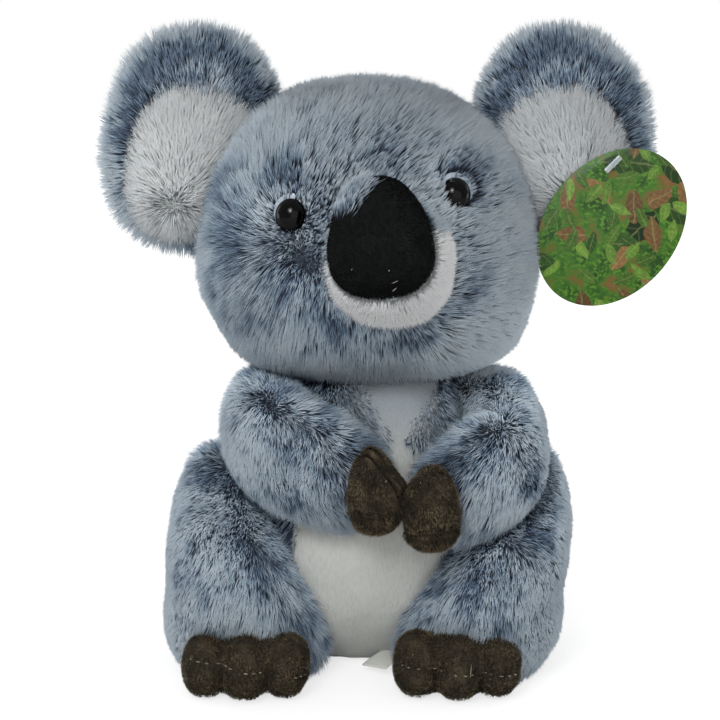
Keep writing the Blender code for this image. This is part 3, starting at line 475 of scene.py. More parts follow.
def soft_form(name, halves, sides=40, levels=26, roundness=ROUNDNESS, narrowing=0.0):
    """A rounded pad about the origin; narrowing makes its upper end slimmer."""
    half_x, half_y, half_z = halves
    rings = [[Vector((0, 0, -half_z))]]
    for level in range(1, levels):
        angle = math.pi * (level / levels - 0.5)
        width = math.cos(angle) ** (2 / roundness)
        height = signed_power(math.sin(angle), 2 / roundness)
        width *= 1 - narrowing * height
        rings.append(oval(sides, Vector((0, 0, half_z * height)), Vector((half_x * width, 0, 0)),
                          Vector((0, half_y * width, 0)), roundness))
    rings.append([Vector((0, 0, half_z))])
    return add_rings(name, rings)


def head_form(name, inset=0.0, sides=72, lower=14, upper=24):
    half_width = HEAD_WIDTH / 2 - inset
    bottom, top = NECK_HEIGHT + inset, NECK_HEIGHT + HEAD_HEIGHT - inset
    widest = NECK_HEIGHT + CHEEK_RISE
    exponent = 2 / HEAD_ROUNDNESS
    steepest = math.acos(((NECK_RADIUS - inset) / half_width) ** (1 / exponent))
    rows = []
    for step in range(lower):
        angle = steepest * (1 - step / lower)
        drop = (math.sin(angle) / math.sin(steepest)) ** exponent
        shift = HEAD_SHIFT + (NECK_SHIFT - HEAD_SHIFT) * drop
        rows.append((shift, widest - drop * (widest - bottom), math.cos(angle) ** exponent))
    for step in range(upper):
        angle = math.pi / 2 * step / upper
        rise = math.sin(angle) ** exponent
        rows.append((HEAD_SHIFT, widest + rise * (top - widest), math.cos(angle) ** exponent))
    rings = [level_ring(sides, shift, height, half_width * share, (HEAD_FRONT - inset) * share,
                        (HEAD_BACK - inset) * share) for shift, height, share in rows]
    rings.append([Vector((HEAD_SHIFT, 0, top))])
    return add_rings(name, rings)


def body_form(name, inset=0.0):
    sides, count = 72, 48
    rings = []
    for step in range(count + 1):
        height, shift, width, front, back = spline(BODY_ROWS, step / count * (len(BODY_ROWS) - 1))
        level = height * (NECK_HEIGHT - GAP)
        if step == 0:
            level += inset
        if step == count:
            level -= inset
        rings.append(level_ring(sides, shift * BODY_HALF_WIDTH, level,
                                width * BODY_HALF_WIDTH - inset, front * BODY_HALF_DEPTH - inset,
                                back * BODY_HALF_DEPTH - inset))
    return add_rings(name, rings)


def at_shares(shares):
    height = shares[2] if len(shares) > 2 else 0
    return Vector((shares[0] * BODY_HALF_WIDTH, shares[1] * BODY_HALF_DEPTH, height * NECK_HEIGHT))


def limb_form(name, route, across, upright, lean=0.0, taper=0.0, blunt=3.0, sides=44,
              roundness=ROUNDNESS, inset=0.0):
    """A stuffed limb swept along its route, round at both ends."""
    steps = 34
    rows = [tuple(at_shares(point)) + (wide, tall) for point, wide, tall in
            zip(route, across, upright)]
    length = sum((Vector(b[:3]) - Vector(a[:3])).length for a, b in zip(rows, rows[1:]))
    trim = inset / length
    last = len(rows) - 1
    rings = []
    for step in range(steps + 1):
        share = (1 - math.cos(math.pi * step / steps)) / 2
        place = last * (trim + (1 - 2 * trim) * share)
        x, y, z, wide, tall = spline(rows, place)
        centre = Vector((x, y, z))
        if step in (0, steps):
            rings.append([centre])
            continue
        ahead = Vector(spline(rows, min(place + 0.05, last))[:3])
        behind = Vector(spline(rows, max(place - 0.05, 0))[:3])
        level = (ahead - behind).to_2d().normalized()
        sideways = Vector((level.y, -level.x, 0))
        swell = (1 - abs(2 * share - 1) ** blunt) ** (1 / blunt)
        ring = []
        for side in range(sides):
            angle = math.tau * side / sides
            rise = signed_power(math.sin(angle), 2 / roundness)
            width = signed_power(math.cos(angle), 2 / roundness) * (1 - taper * rise)
            slide = lean * rise if rise > 0 else lean * 0.4 * rise
            half_wide, half_tall = (wide / 2 - inset) * swell, (tall / 2 - inset) * swell
            ring.append(centre + sideways * half_wide * width
                        + Vector((slide * half_tall, 0, half_tall * rise)))
        rings.append(ring)
    return add_rings(name, rings)


def arm_form(side, inset=0.0):
    return limb_form("arm", ARM_ROUTES[side], ARM_ACROSS, ARM_UPRIGHT, inset=inset)


def leg_form(side):
    return limb_form("leg", LEG_ROUTES[side], LEG_ACROSS, LEG_UPRIGHT, lean=LEG_LEANS[side],
                     taper=0.30, blunt=2.6, sides=48, roundness=2.8)


def block(name, low, high):
    ring_low = [Vector((low[0], low[1], low[2])), Vector((high[0], low[1], low[2])),
                Vector((high[0], high[1], low[2])), Vector((low[0], high[1], low[2]))]
    ring_high = [Vector((corner.x, corner.y, high[2])) for corner in ring_low]
    return add_rings(name, (ring_low, ring_high))


def remove(*items):
    for item in items:
        mesh = item.data
        bpy.data.objects.remove(item)
        bpy.data.meshes.remove(mesh)


def settled(item):
    """The object's modifiers worked into its mesh."""
    graph = bpy.context.evaluated_depsgraph_get()
    mesh = bpy.data.meshes.new_from_object(item.evaluated_get(graph))
    item.modifiers.clear()
    old = item.data
    item.data = mesh
    bpy.data.meshes.remove(old)
    return item


def combine(item, other, operation):
    modifier = item.modifiers.new(operation, "BOOLEAN")
    modifier.operation = operation
    modifier.object = other
    settled(item)
    remove(other)
    return item


def moved(item, matrix):
    item.data.transform(matrix)
    item.data.update()
    return item


def copied(item, name):
    return piece_of(name, item.data.copy())


def joined(name, items):
    """One mesh of several objects' meshes, which stay as they are."""
    made = bmesh.new()
    for item in items:
        made.from_mesh(item.data)
    mesh = bpy.data.meshes.new(name)
    made.to_mesh(mesh)
    made.free()
    return piece_of(name, mesh)


def remeshed(item, voxel, smooth):
    """The form in even small faces, with its creases softened."""
    modifier = item.modifiers.new("even", "REMESH")
    modifier.mode = "VOXEL"
    modifier.voxel_size = voxel
    relax = item.modifiers.new("relax", "SMOOTH")
    relax.iterations = smooth
    relax.factor = 0.5
    settled(item)
    item.data.shade_smooth()
    return item


def sculpt(item, move):
    """Move every point by a function of its place and normal."""
    mesh = item.data
    normals = [Vector(entry.vector) for entry in mesh.vertex_normals]
    for vertex, normal in zip(mesh.vertices, normals):
        vertex.co = move(vertex.co.copy(), normal)
    mesh.update()
    return item


def dress(item, material, smooth=True):
    item.data.materials.clear()
    item.data.materials.append(material)
    if smooth:
        item.data.shade_smooth()
    return item


def padded_piece(item, material, body, fill, *nodes):
    """A stuffed piece in its finish, moving with its body, in place of its solids."""
    dress(item, material)
    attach(item, body)
    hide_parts(*nodes)


# ---------------------------------------------------------------- pile

def strand_template():
    """One strand, a closed spindle one unit long: foot, an edge at its belly, and tip."""
    mesh = bpy.data.meshes.new("strand")
    along, section = (0, STRAND_BELLY, STRAND_BELLY, 1), (0.5, 0, 1, 0.5)
    mesh.from_pydata([(0, 0, 0), (1, 0, STRAND_BELLY), (-0.5, 0.866, STRAND_BELLY), (0, 0, 1)], [],
                     [(0, 2, 1), (1, 2, 3), (0, 1, 3), (0, 3, 2)])
    mesh.shade_smooth()
    for name, values in (("along", along), ("section", section)):
        mesh.attributes.new(name, "FLOAT", "POINT").data.foreach_set("value", values)
    return piece_of("strand", mesh)


# How deep a root may lie in a neighbour and still carry pile, and how low pile is pressed
BURIED = 0.0004
PRESSED = 0.0004


def pile_tree():
    """Strands on a cloth: they follow its comb, draw together in tufts and lie on the floor."""
    tree = bpy.data.node_groups.new("pile", "GeometryNodeTree")
    sockets = (("Cloth", "Geometry"), ("Strand", "Object"), ("Neighbours", "Object"),
               ("Kept clear", "Object"), ("Strands per area", "Float"), ("Girth", "Float"),
               ("Tuft size", "Float"), ("Tuft pull", "Float"), ("Lock size", "Float"),
               ("Lock pull", "Float"), ("Lock tones", "Float"), ("Wave", "Float"),
               ("Scatter", "Float"), ("Lift", "Float"), ("Margin", "Float"), ("Seed", "Int"),
               ("Finish", "Material"))
    for name, kind in sockets:
        tree.interface.new_socket(name, in_out="INPUT", socket_type="NodeSocket" + kind)
    tree.interface.new_socket("Pile", in_out="OUTPUT", socket_type="NodeSocketGeometry")
    board = Board(tree)
    given = board.add("NodeGroupInput")
    size = {name: Value(board, given.outputs[name]) for name, _ in sockets}

    def named(name, kind="FLOAT"):
        return board.out("GeometryNodeInputNamedAttribute", {"data_type": kind}, {"Name": name})

    def chance(low, high, number, kind="FLOAT"):
        seed = size["Seed"] * 7.0 + number
        if kind == "FLOAT_VECTOR":
            return board.out("FunctionNodeRandomValue", {"data_type": kind},
                             {0: (low, low, low), 1: (high, high, high), "Seed": seed}, 0)
        return board.out("FunctionNodeRandomValue", {"data_type": kind},
                         {2: low, 3: high, "Seed": seed}, 1)

    scattered = board.add("GeometryNodeDistributePointsOnFaces", {"distribute_method": "RANDOM"}, {
        "Mesh": size["Cloth"], "Density": named("growth") * size["Strands per area"],
        "Seed": size["Seed"]})
    points = Value(board, scattered.outputs[0])
    normal = Value(board, scattered.outputs[1])
    place = board.out("GeometryNodeInputPosition")

    facing = {}
    for name in ("Neighbours", "Kept clear"):
        facing[name] = board.out("GeometryNodeObjectInfo", {"transform_space": "RELATIVE"},
                                 {"Object": size[name]}, "Geometry")

    comb = named("comb", "FLOAT_VECTOR")
    length = named("length") * chance(0.80, 1.10, 1)
    scatter = board.scaled(chance(-1.0, 1.0, 2, "FLOAT_VECTOR"), size["Scatter"])
    rise = board.vector("NORMALIZE", board.vector("ADD", board.vector(
        "ADD", board.scaled(normal, size["Lift"]), comb), scatter))

    def gathered(width, pull):
        """The way to the middle of the tuft or lock that a point belongs to, and its own tone."""
        cell = board.add("ShaderNodeTexVoronoi", {}, {"Vector": place, "Scale": 1.0 / width})
        inward = board.vector("SUBTRACT", Value(board, cell.outputs["Position"]), place)
        inward = board.vector("SUBTRACT", inward, board.scaled(normal, board.vector(
            "DOT_PRODUCT", inward, normal)))
        hue = board.parts(Value(board, cell.outputs["Color"]))
        return board.scaled(inward, pull), hue[0] - 0.5

    tuft, tuft_tone = gathered(size["Tuft size"], size["Tuft pull"])
    lock, lock_tone = gathered(size["Lock size"], size["Lock pull"])
    curl = board.drift(place, 110.0, 1.0)
    sweep = board.vector("ADD", board.scaled(comb, 0.35), board.scaled(curl, size["Wave"]))
    lean = board.vector("ADD", board.scaled(sweep, length), board.vector("ADD", tuft, lock))
    tip = board.vector("ADD", place, board.vector("ADD", board.scaled(rise, length), lean))

    nearest = board.out("GeometryNodeSampleNearestSurface", {"data_type": "FLOAT_VECTOR"}, {
        "Mesh": facing["Neighbours"], "Value": board.out("GeometryNodeInputNormal"),
        "Sample Position": place})
    touched = board.out("GeometryNodeProximity", {"target_element": "FACES"}, {
        "Geometry": facing["Neighbours"], "Sample Position": place}, 0)
    inside = board.vector("DOT_PRODUCT", board.vector("SUBTRACT", touched, place), nearest)
    hidden = board.out("FunctionNodeCompare", {"data_type": "FLOAT", "operation": "GREATER_THAN"},
                       {0: inside, 1: BURIED})
    distance = board.out("GeometryNodeProximity", {"target_element": "FACES"}, {
        "Geometry": facing["Kept clear"], "Sample Position": tip}, 1)
    across = board.out("FunctionNodeCompare", {"data_type": "FLOAT", "operation": "LESS_THAN"},
                       {0: distance, 1: size["Margin"]})
    dropped = board.out("FunctionNodeBooleanMath", {"operation": "OR"}, {0: hidden, 1: across})
    points = board.out("GeometryNodeDeleteGeometry", {"domain": "POINT"},
                       {"Geometry": points, "Selection": dropped})

    def stored(geometry, name, value, kind, domain="POINT"):
        return board.out("GeometryNodeStoreNamedAttribute", {"data_type": kind, "domain": domain},
                         {"Geometry": geometry, "Name": name, "Value": value})

    group_tone = (lock_tone + tuft_tone * 0.6) * size["Lock tones"]
    shade = named("tone") + chance(-0.12, 0.12, 3) + group_tone
    points = stored(points, "lean", lean, "FLOAT_VECTOR")
    points = stored(points, "shade", shade, "FLOAT")
    thick = size["Girth"] * chance(0.6, 1.3, 4)
    bulk = board.out("ShaderNodeCombineXYZ", {}, {0: thick, 1: thick, 2: length})
    turn = board.out("FunctionNodeAlignRotationToVector", {"axis": "Z"}, {"Vector": rise})
    template = board.out("GeometryNodeObjectInfo", {}, {"Object": size["Strand"]}, "Geometry")
    planted = board.out("GeometryNodeInstanceOnPoints", {}, {
        "Points": points, "Instance": template, "Rotation": turn, "Scale": bulk})
    strands = board.out("GeometryNodeRealizeInstances", {}, {"Geometry": planted})
    along = named("along")
    strands = board.out("GeometryNodeSetPosition", {}, {"Geometry": strands, "Offset": board.scaled(
        named("lean", "FLOAT_VECTOR"), along)})
    x, y, z = board.parts(board.out("GeometryNodeInputPosition"))
    pressed = board.out("ShaderNodeCombineXYZ", {}, {0: x, 1: y, 2: z.maths("MAXIMUM", PRESSED)})
    strands = board.out("GeometryNodeSetPosition", {}, {"Geometry": strands, "Position": pressed})
    clamped = named("shade").maths("MINIMUM", 0.99).maths("MAXIMUM", 0.006)
    chart = board.out("ShaderNodeCombineXYZ", {}, {
        0: along * 0.98 + 0.01, 1: clamped + named("section") * 0.003})
    strands = stored(strands, "OFBake", chart, "FLOAT2", "CORNER")
    strands = board.out("GeometryNodeSetMaterial", {}, {"Geometry": strands,
                                                        "Material": size["Finish"]})
    board.add("NodeGroupOutput", {}, {"Pile": strands})
    return tree


def grown(name, cloth, body, material, seed, density, girth=0.00026, tuft=(0.007, 0.18),
          lock=(0.0017, 0.70), tones=0.55, wave=0.35, scatter=0.22, lift=0.75, margin=0.0012,
          neighbours=None, kept_clear=None):
    """A layer of pile on a cloth, as one plain mesh that moves with the body."""
    item = piece_of(name, cloth.data)
    modifier = item.modifiers.new("pile", "NODES")
    modifier.node_group = PILE
    given = {"Strand": STRAND, "Neighbours": neighbours or FAR_OFF,
             "Kept clear": kept_clear or FAR_OFF, "Strands per area": density, "Girth": girth,
             "Tuft size": tuft[0], "Tuft pull": tuft[1], "Lock size": lock[0],
             "Lock pull": lock[1], "Lock tones": tones, "Wave": wave, "Scatter": scatter,
             "Lift": lift, "Margin": margin, "Seed": seed, "Finish": material}
    for socket in PILE.interface.items_tree:
        if socket.in_out == "INPUT" and socket.name in given:
            modifier[socket.identifier] = given[socket.name]
    graph = bpy.context.evaluated_depsgraph_get()
    mesh = bpy.data.meshes.new_from_object(item.evaluated_get(graph))
    item.modifiers.clear()
    item.data = mesh
    mesh.name = name
    for attribute in list(mesh.attributes):
        if attribute.name in ("along", "section", "lean", "shade", "comb", "length", "tone",
                              "growth"):
            mesh.attributes.remove(attribute)
    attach(item, body)
    return item


def combed(item, rule):
    """Store on the cloth what the pile needs: its comb, length, tone and growth, by a rule."""
    mesh = item.data
    normals = [Vector(entry.vector) for entry in mesh.vertex_normals]
    combs, lengths, tones, growths = [], [], [], []
    for vertex, normal in zip(mesh.vertices, normals):
        flow, length, tone, growth = rule(vertex.co, normal)
        flow = flow - normal * flow.dot(normal)
        if flow.length > 1:
            flow.normalize()
        combs.extend(flow)
        lengths.append(length)
        tones.append(tone)
        growths.append(growth)
    for name, kind, key, values in (
            ("comb", "FLOAT_VECTOR", "vector", combs), ("length", "FLOAT", "value", lengths),
            ("tone", "FLOAT", "value", tones), ("growth", "FLOAT", "value", growths)):
        mesh.attributes.new(name, kind, "POINT").data.foreach_set(key, values)
    return item


def smooth_step(low, high, value):
    share = min(max((value - low) / (high - low), 0.0), 1.0)
    return share * share * (3 - 2 * share)


def mottle(place, size, seed):
    """Noise from -1 to 1."""
    return noise.noise(place / size + Vector((seed * 7.31, seed * 3.17, seed * 1.93)))


STRAND_BELLY = 0.42
STRAND = strand_template()
FAR_OFF = moved(soft_form("far_off", (0.01, 0.01, 0.01), 4, 3), Matrix.Translation((0, 0, -5)))
PILE = pile_tree()

GREY_PILE = pile_finish("frosted_grey_pile", "293648 455c78 92a8bb ccd8e1",
                        sheen=0.05, gleam=0.2)
WHITE_PILE = pile_finish("white_pile", "b5bbbf cacfd2 d9dddf e8ebec")
# The white pile painted paler for the muzzle, lifting it out of the shade under the nose
MUZZLE_PILE = pile_finish("white_pile_painted_lit", "e6ecef f2f6f8 f8fbfd fdfefe", sheen=0.5)
BROWN_PILE = pile_finish("brown_short_pile", "1b1813 3d372b 554c3d 7d6d55",
                         turn=0.75, sheen=0.0, gleam=0.1)
BLACK_PILE = pile_finish("black_short_pile", "070808 101212 1b1e1d 2a2e2c",
                         turn=0.85, sheen=0.0, gleam=0.03)
GREY_BACKING = backing_finish("grey_knit_backing", "1d2531 323e50")
WHITE_BACKING = backing_finish("white_knit_backing", "a9aeb0 c5c9ca")
BROWN_VELVET = velvet_finish("brown_velvet", "231f18 423b2e 5c5141")
BLACK_VELVET = velvet_finish("black_velvet", "070808 0e0f0f 171919")
# Its second colour also paints shade at the foot, and its third is a painted shadow under the head
BELLY_PILE = short_pile_finish("white_short_pile", "bbbcb7 9d9f9b 7d878f")
EYE_PLASTIC = plastic_finish("dark_eye_plastic", "020202 070504", 0.06, gleam=0.12)
RIM_PLASTIC = plastic_finish("grey_blue_rim_plastic", "8793a1 a6b0bb", 0.35, coat=0.1)
THREAD = plastic_finish("pale_thread", "9a9282 c9c3b4", 0.8)
WASHER_PLASTIC = plastic_finish("white_washer_plastic", "dcdcda c9c9c6", 0.5)
CLEAR_PLASTIC = plastic_finish("clear_pin_plastic", "b4bfc0 9dabac", 0.2, coat=0.3)
CLEAR_PLASTIC.node_tree.nodes["Principled BSDF"].inputs["Alpha"].default_value = 0.55


# ---------------------------------------------------------------- cloths

def eye_frame(side):
    """Where a safety eye sits on the face; its Z points out of the skin."""
    head = head_form("face", sides=22, lower=4, upper=7)
    x, z = EYES[side]
    _, point, normal, _ = head.ray_cast(Vector((x, -REACH, z)), Vector((0, 1, 0)))
    outward = (normal + Vector((0, -1, 0))).normalized()
    turn = outward.to_track_quat("Z", "Y").to_matrix().to_4x4()
    remove(head)
    return Matrix.Translation(point) @ turn @ Matrix.Translation((0, 0, 0.0012))


def nose_form(name):
    item = soft_form(name, NOSE_HALVES, 48, 32, narrowing=NOSE_NARROWING)
    return moved(item, Matrix.Translation(NOSE_PLACE) @ Matrix.Rotation(math.radians(-5), 4, "Y"))


def muzzle_form(name, spare=0.0):
    item = soft_form(name, [half + spare for half in MUZZLE_HALVES], 48, 32)
    return moved(item, Matrix.Translation(MUZZLE_PLACE))


def ear_stand(side):
    return Matrix.Translation(EAR_PLACES[side]) @ Matrix.Rotation(EAR_TILTS[side], 4, "Y")


def lining_stand(side):
    return ear_stand(side) @ Matrix.Translation((0, LINING_FORWARD, -LINING_DROP))


def foot_form(name, side):
    """Three toes and the foot behind them, one soft form with clefts."""
    x, y, _ = at_shares(FEET[side])
    rise = FOOT_HALVES[2] - FOOT_SINK
    foot = moved(soft_form("foot", FOOT_HALVES, 28, 16),
                 Matrix.Translation((x, y + 0.28 * FOOT_LENGTH, rise)))
    for sideways, ahead in ((-0.86, -0.06), (0.0, 0.06), (0.86, -0.04)):
        toe = soft_form("toe", TOE_HALVES, 28, 18, 2.2)
        moved(toe, Matrix.Translation((x + sideways * TOE_SPACING, y - ahead * FOOT_LENGTH, rise)))
        combine(foot, toe, "UNION")
    combine(foot, above_floor(), "INTERSECT")
    foot.name = name
    return foot


def hand_form(name, side):
    shares, tilt, _, _ = HANDS[side]
    hand = soft_form(name, HAND_HALVES, 36, 24, 2.6)
    return moved(hand, Matrix.Translation(at_shares(shares)) @ Matrix.Rotation(tilt, 4, "Y"))


# ---------------------------------------------------------------- combing rules

def brushed_face(x, z):
    """The way the pile of the face lies, between the places where it was brushed."""
    flow = Vector((0, 0, 0))
    total = 0.0
    for across, up, degrees in BRUSHED:
        weight = math.exp(-((x - across) ** 2 + (z - up) ** 2) / (2 * 0.011 ** 2)) + 1e-6
        angle = math.radians(degrees)
        flow += Vector((math.cos(angle), 0, math.sin(angle))) * weight
        total += weight
    return flow / total


def parting(place):
    """How far the pile lies open at a place, 0 to 1."""
    if place.y > 0.012:
        return 0.0
    return min(1.0, sum(math.exp(-((place.x - across) ** 2 + (place.z - up) ** 2) / reach ** 2)
                        for across, up, reach in PARTED))


def mottled(place, seed, broad, fine):
    """A tone with broad and fine mottles."""
    return broad * mottle(place, 0.013, seed) + fine * mottle(place, 0.005, seed + 1)


def head_rule(place, normal):
    x, y, z = place
    front = smooth_step(0.012, -0.030, y)
    behind = Vector((0.25 * normal.x, 0.0, -0.9))
    flow = brushed_face(x, z) * front + behind * (1 - front)
    flow += Vector((0, 0.7, 0.25)) * smooth_step(0.204, 0.226, z)
    length = 0.0088 + 0.0008 * mottle(place, 0.02, 1)
    rough = smooth_step(-0.005, -0.030, x) * smooth_step(0.175, 0.155, z) * front
    # Paler on the crown and the left half, darker about the right eye and on the right cheek
    tone = 0.70 + mottled(place, 2, 0.26, 0.34 + 0.20 * rough) - 0.38 * parting(place)
    tone += 0.30 * mottle(place, 0.0032, 6)
    tone += 0.10 * smooth_step(0.190, 0.200, z) - 0.10 * rough
    tone += 0.14 * smooth_step(0.006, 0.030, x)
    tone -= 0.10 * smooth_step(-0.010, -0.030, x) * smooth_step(0.200, 0.190, z) * front
    tone -= 0.10 * smooth_step(-0.034, -0.044, x) * smooth_step(0.165, 0.175, z)
    # The jaw is painted paler, in broad mottles, to lift it out of the shade that falls under the
    # head; pile that faces up is painted a little darker against the lamps above and behind
    low = smooth_step(0.150, 0.132, z)
    tone += (0.32 + 0.45 * mottle(place, 0.008, 9)) * low - 0.04 * smooth_step(0.5, 1.0, normal.z)
    # Shade in a crescent under the muzzle
    chin_gap = math.hypot((x - MUZZLE_PLACE.x) / 0.0225, (z - MUZZLE_PLACE.z) / 0.0215)
    if y < 0 and z < 0.158:
        under = math.exp(-((chin_gap - 1.26) / 0.20) ** 2)
        tone -= (0.30 + 1.30 * mottle(place, 0.0075, 8)) * under
    # Short pile parts about the eyes; on the left one's lower inner side it is brushed across
    for side, (eye_x, eye_z) in EYES.items():
        gap = math.hypot(x - eye_x, z - eye_z)
        if y < 0 and gap < 0.020:
            near = smooth_step(0.020, 0.007, gap)
            if side == "left" and z + x < eye_z + eye_x - 0.003:
                flow = flow.lerp(Vector((0.6, 0, 0.5)), near)
                tone += 0.30 * near
                continue
            length *= 1 - 0.40 * near
            flow = flow.lerp(Vector((x - eye_x, 0, z - eye_z)) / (gap + 0.001), 0.45 * near)
            tone += (-0.32 if z > eye_z + 0.004 else 0.08) * near
    nose_gap = math.hypot((x - NOSE_PLACE.x) / 0.024, (z - 0.168) / 0.029)
    if y < 0 and nose_gap < 1.7:
        near = smooth_step(1.7, 1.0, nose_gap)
        length *= 1 - 0.40 * near
        tone -= 0.12 * near
    # Shorter at the neck, on the cheeks' sides and on the crown
    length *= 1 - 0.50 * smooth_step(0.130, 0.117, z)
    length *= 1 - 0.35 * smooth_step(0.160, 0.140, z) * smooth_step(0.4, 0.9, abs(normal.x))
    length *= 1 - 0.20 * smooth_step(0.6, 1.0, normal.z)
    growth = smooth_step(NECK_HEIGHT + 0.0006, NECK_HEIGHT + 0.005, z)
    return flow, length, tone, growth


def belly_room(place):
    """How far a place lies beyond the belly's outline, sideways."""
    share = min(max(place.z / NECK_HEIGHT, -0.10), 1.09)
    for lower, upper in zip(BELLY_ROWS, BELLY_ROWS[1:]):
        if lower[0] <= share <= upper[0]:
            part = (share - lower[0]) / (upper[0] - lower[0])
            middle = (lower[1] + part * (upper[1] - lower[1])) * BODY_HALF_WIDTH
            half = (lower[2] + part * (upper[2] - lower[2])) * BELLY_HALF_WIDTH
            return abs(place.x - middle) - half
    return 1.0


def body_rule(place, normal):
    flow = Vector((0.15 * normal.x, 0.1, -0.8))
    length = 0.0088 + 0.001 * mottle(place, 0.02, 4)
    tone = 0.47 + mottled(place, 5, 0.45, 0.25)
    growth = 1.0
    if place.y < BELLY_REAR + 0.002:
        room = belly_room(place)
        if place.z > 0.060:
            # Grey pile closes over the top of the belly but for a narrow wedge
            opening = 0.004 + 0.60 * max(place.z - 0.092, 0.0) + 1.3 * max(0.092 - place.z, 0.0)
            room = max(room, abs(place.x - WEDGE_MIDDLE) - opening)
            flow = Vector((0.5 if place.x < WEDGE_MIDDLE else -0.5, 0, -0.8))
        growth = smooth_step(-0.0005, 0.0008, room)
        length *= 0.55 + 0.45 * smooth_step(0.0, 0.008, room)
    if place.z < 0.004:
        growth = 0.0
    return flow, length, tone, growth


def limb_rule(side, route, seed, droop, out, slim):
    points = [at_shares(shares) for shares in route]
    sign = SIGNS[side]

    def rule(place, normal):
        nearest = min(range(len(points) - 1), key=lambda n: (
            (points[n] + points[n + 1]) / 2 - place).length)
        ahead = (points[nearest + 1] - points[nearest]).normalized()
        flow = ahead * 0.55 + Vector((sign * out, 0, -droop))
        flow += Vector((mottle(place, 0.02, seed + 3), 0, mottle(place, 0.02, seed + 4))) * 0.5
        length = 0.0080 + 0.0008 * mottle(place, 0.02, seed)
        length *= 1 - slim * smooth_step(0.2, 0.85, sign * normal.x)
        tone = 0.54 + mottled(place, seed + 1, 0.58, 0.34) - 0.42 * parting(place)
        # Painted light: the pile on the outer side is paler, more so low down, for the light that
        # wraps round the outline
        tone += (0.26 + 0.30 * smooth_step(0.075, 0.055, place.z) +
                 0.50 * mottle(place, 0.0055, seed + 6)) * smooth_step(0.35, 0.9, sign * normal.x)
        growth = 1.0 if place.z > 0.003 else 0.0
        return flow, length, tone, growth
    return rule


def ear_rule(side):
    stand = ear_stand(side)
    inverse = stand.inverted()
    turn = stand.to_3x3()
    sign = SIGNS[side]

    def rule(place, normal):
        x, y, z = inverse @ place
        rim = math.hypot(x / EAR_HALVES[0], z / EAR_HALVES[2])
        across, up = abs(x) / LINING_HALVES[0], abs(z + LINING_DROP) / LINING_HALVES[2]
        square = 3.0 if z > -LINING_DROP else 2.0
        edge = (across ** square + up ** square) ** (1 / square)  # 1 at the lining's edge
        outer = smooth_step(0.2, 0.9, sign * x / EAR_HALVES[0])
        inner = smooth_step(0.2, 0.9, -sign * x / EAR_HALVES[0])
        out = Vector((x, 0, z + 0.012))
        flow = out / (out.length + 0.008)
        flow += Vector((0, 1.0, 0)) * smooth_step(0.72, 0.98, rim)
        length = 0.0072 - 0.0024 * inner
        length += 0.0006 * mottle(place, 0.02, 22)
        growth = 1.0
        if y < 0.001:
            growth = smooth_step(0.93, 1.03, edge)
            low = smooth_step(-0.004, -0.024, z)
            band = math.exp(-((rim - 0.74) / 0.11) ** 2)  # dark between the lining and the rim
            tone = 0.40 - (0.80 + 0.40 * inner - 0.60 * low - 0.35 * outer) * band
            tone += 0.10 * outer + 0.35 * low
            tone += 0.60 * smooth_step(0.84, 1.0, rim) + mottled(place, 20, 0.34, 0.40)
        else:
            tone = 0.60 + mottled(place, 20, 0.30, 0.20)
            flow = Vector((0.3 * flow.x, 0, -0.75)).lerp(flow, smooth_step(0.6, 1.0, rim))
        return turn @ (flow * 0.95), length, tone, growth
    return rule


def lining_rule(side):
    stand = lining_stand(side)
    inverse = stand.inverted()
    turn = stand.to_3x3()
    sign = SIGNS[side]

    def rule(place, normal):
        x, y, z = inverse @ place
        out = Vector(((x - sign * 0.003) * 0.9, 0, z + 0.018))
        flow = out / (out.length + 0.004)
        corner = smooth_step(-0.1, 0.5, z / LINING_HALVES[2]) * smooth_step(
            0.2, 0.7, abs(x) / LINING_HALVES[0])
        length = 0.0084 + 0.0010 * mottle(place, 0.015, 25) + 0.0008 * corner
        length *= 1 - 0.30 * smooth_step(0.3, 0.9, sign * x / LINING_HALVES[0])
        # Painted shade in the crease towards the head
        crease_shade = smooth_step(0.3, 1.0, -sign * x / LINING_HALVES[0])
        tone = 0.62 + 0.25 * mottle(place, 0.010, 26) - 0.30 * crease_shade
        # The left lining is painted darker all over, for the shade that it lies in, with a painted
        # shadow along a fold
        if side == "left":
            fold_shadow = z - (0.011 - 0.55 * x)
            tone -= 0.75 + 0.60 * math.exp(-(fold_shadow / 0.0035) ** 2)
        return turn @ flow, length, tone, 1.0 if y < 0.0005 else 0.0
    return rule


def muzzle_rule(place, normal):
    out = Vector((place.x - MUZZLE_PLACE.x, -0.004, place.z - MUZZLE_PLACE.z - 0.004))
    length = 0.0046 + 0.0006 * mottle(place, 0.01, 30)
    tone = 0.85 + 0.30 * mottle(place, 0.006, 31)
    return out / (out.length + 0.002), length, tone, smooth_step(0.1745, 0.1725, place.z)


def brow_rule(place, normal):
    """Grey pile of the face lies over the upper rim of the muzzle."""
    flow, _, tone, _ = head_rule(place, normal)
    return flow, 0.0060, tone + 0.1, smooth_step(0.1720, 0.1740, place.z)


def short_rule(flow, length, seed, tone=0.4):
    def rule(place, normal):
        shade = tone + 0.45 * mottle(place, 0.006, seed) + 0.3 * mottle(place, 0.0025, seed + 1)
        stray = Vector([mottle(place, 0.009, seed + number) for number in (2, 3, 4)])
        return Vector(flow) + stray * 0.9, length, shade, 1.0 if place.z > 0.0012 else 0.0
    return rule


# ---------------------------------------------------------------- make the toy

def cut_by(item, *others):
    for other in others:
        combine(item, other, "DIFFERENCE")
    return item


def above_floor():
    return block("above", (-REACH, -REACH, 0.0), (REACH, REACH, REACH))


def beside(*names):
    """One mesh of the blocks of the pieces that lie beside the one being made."""
    return joined("neighbours", [FORMS[name] for name in names])


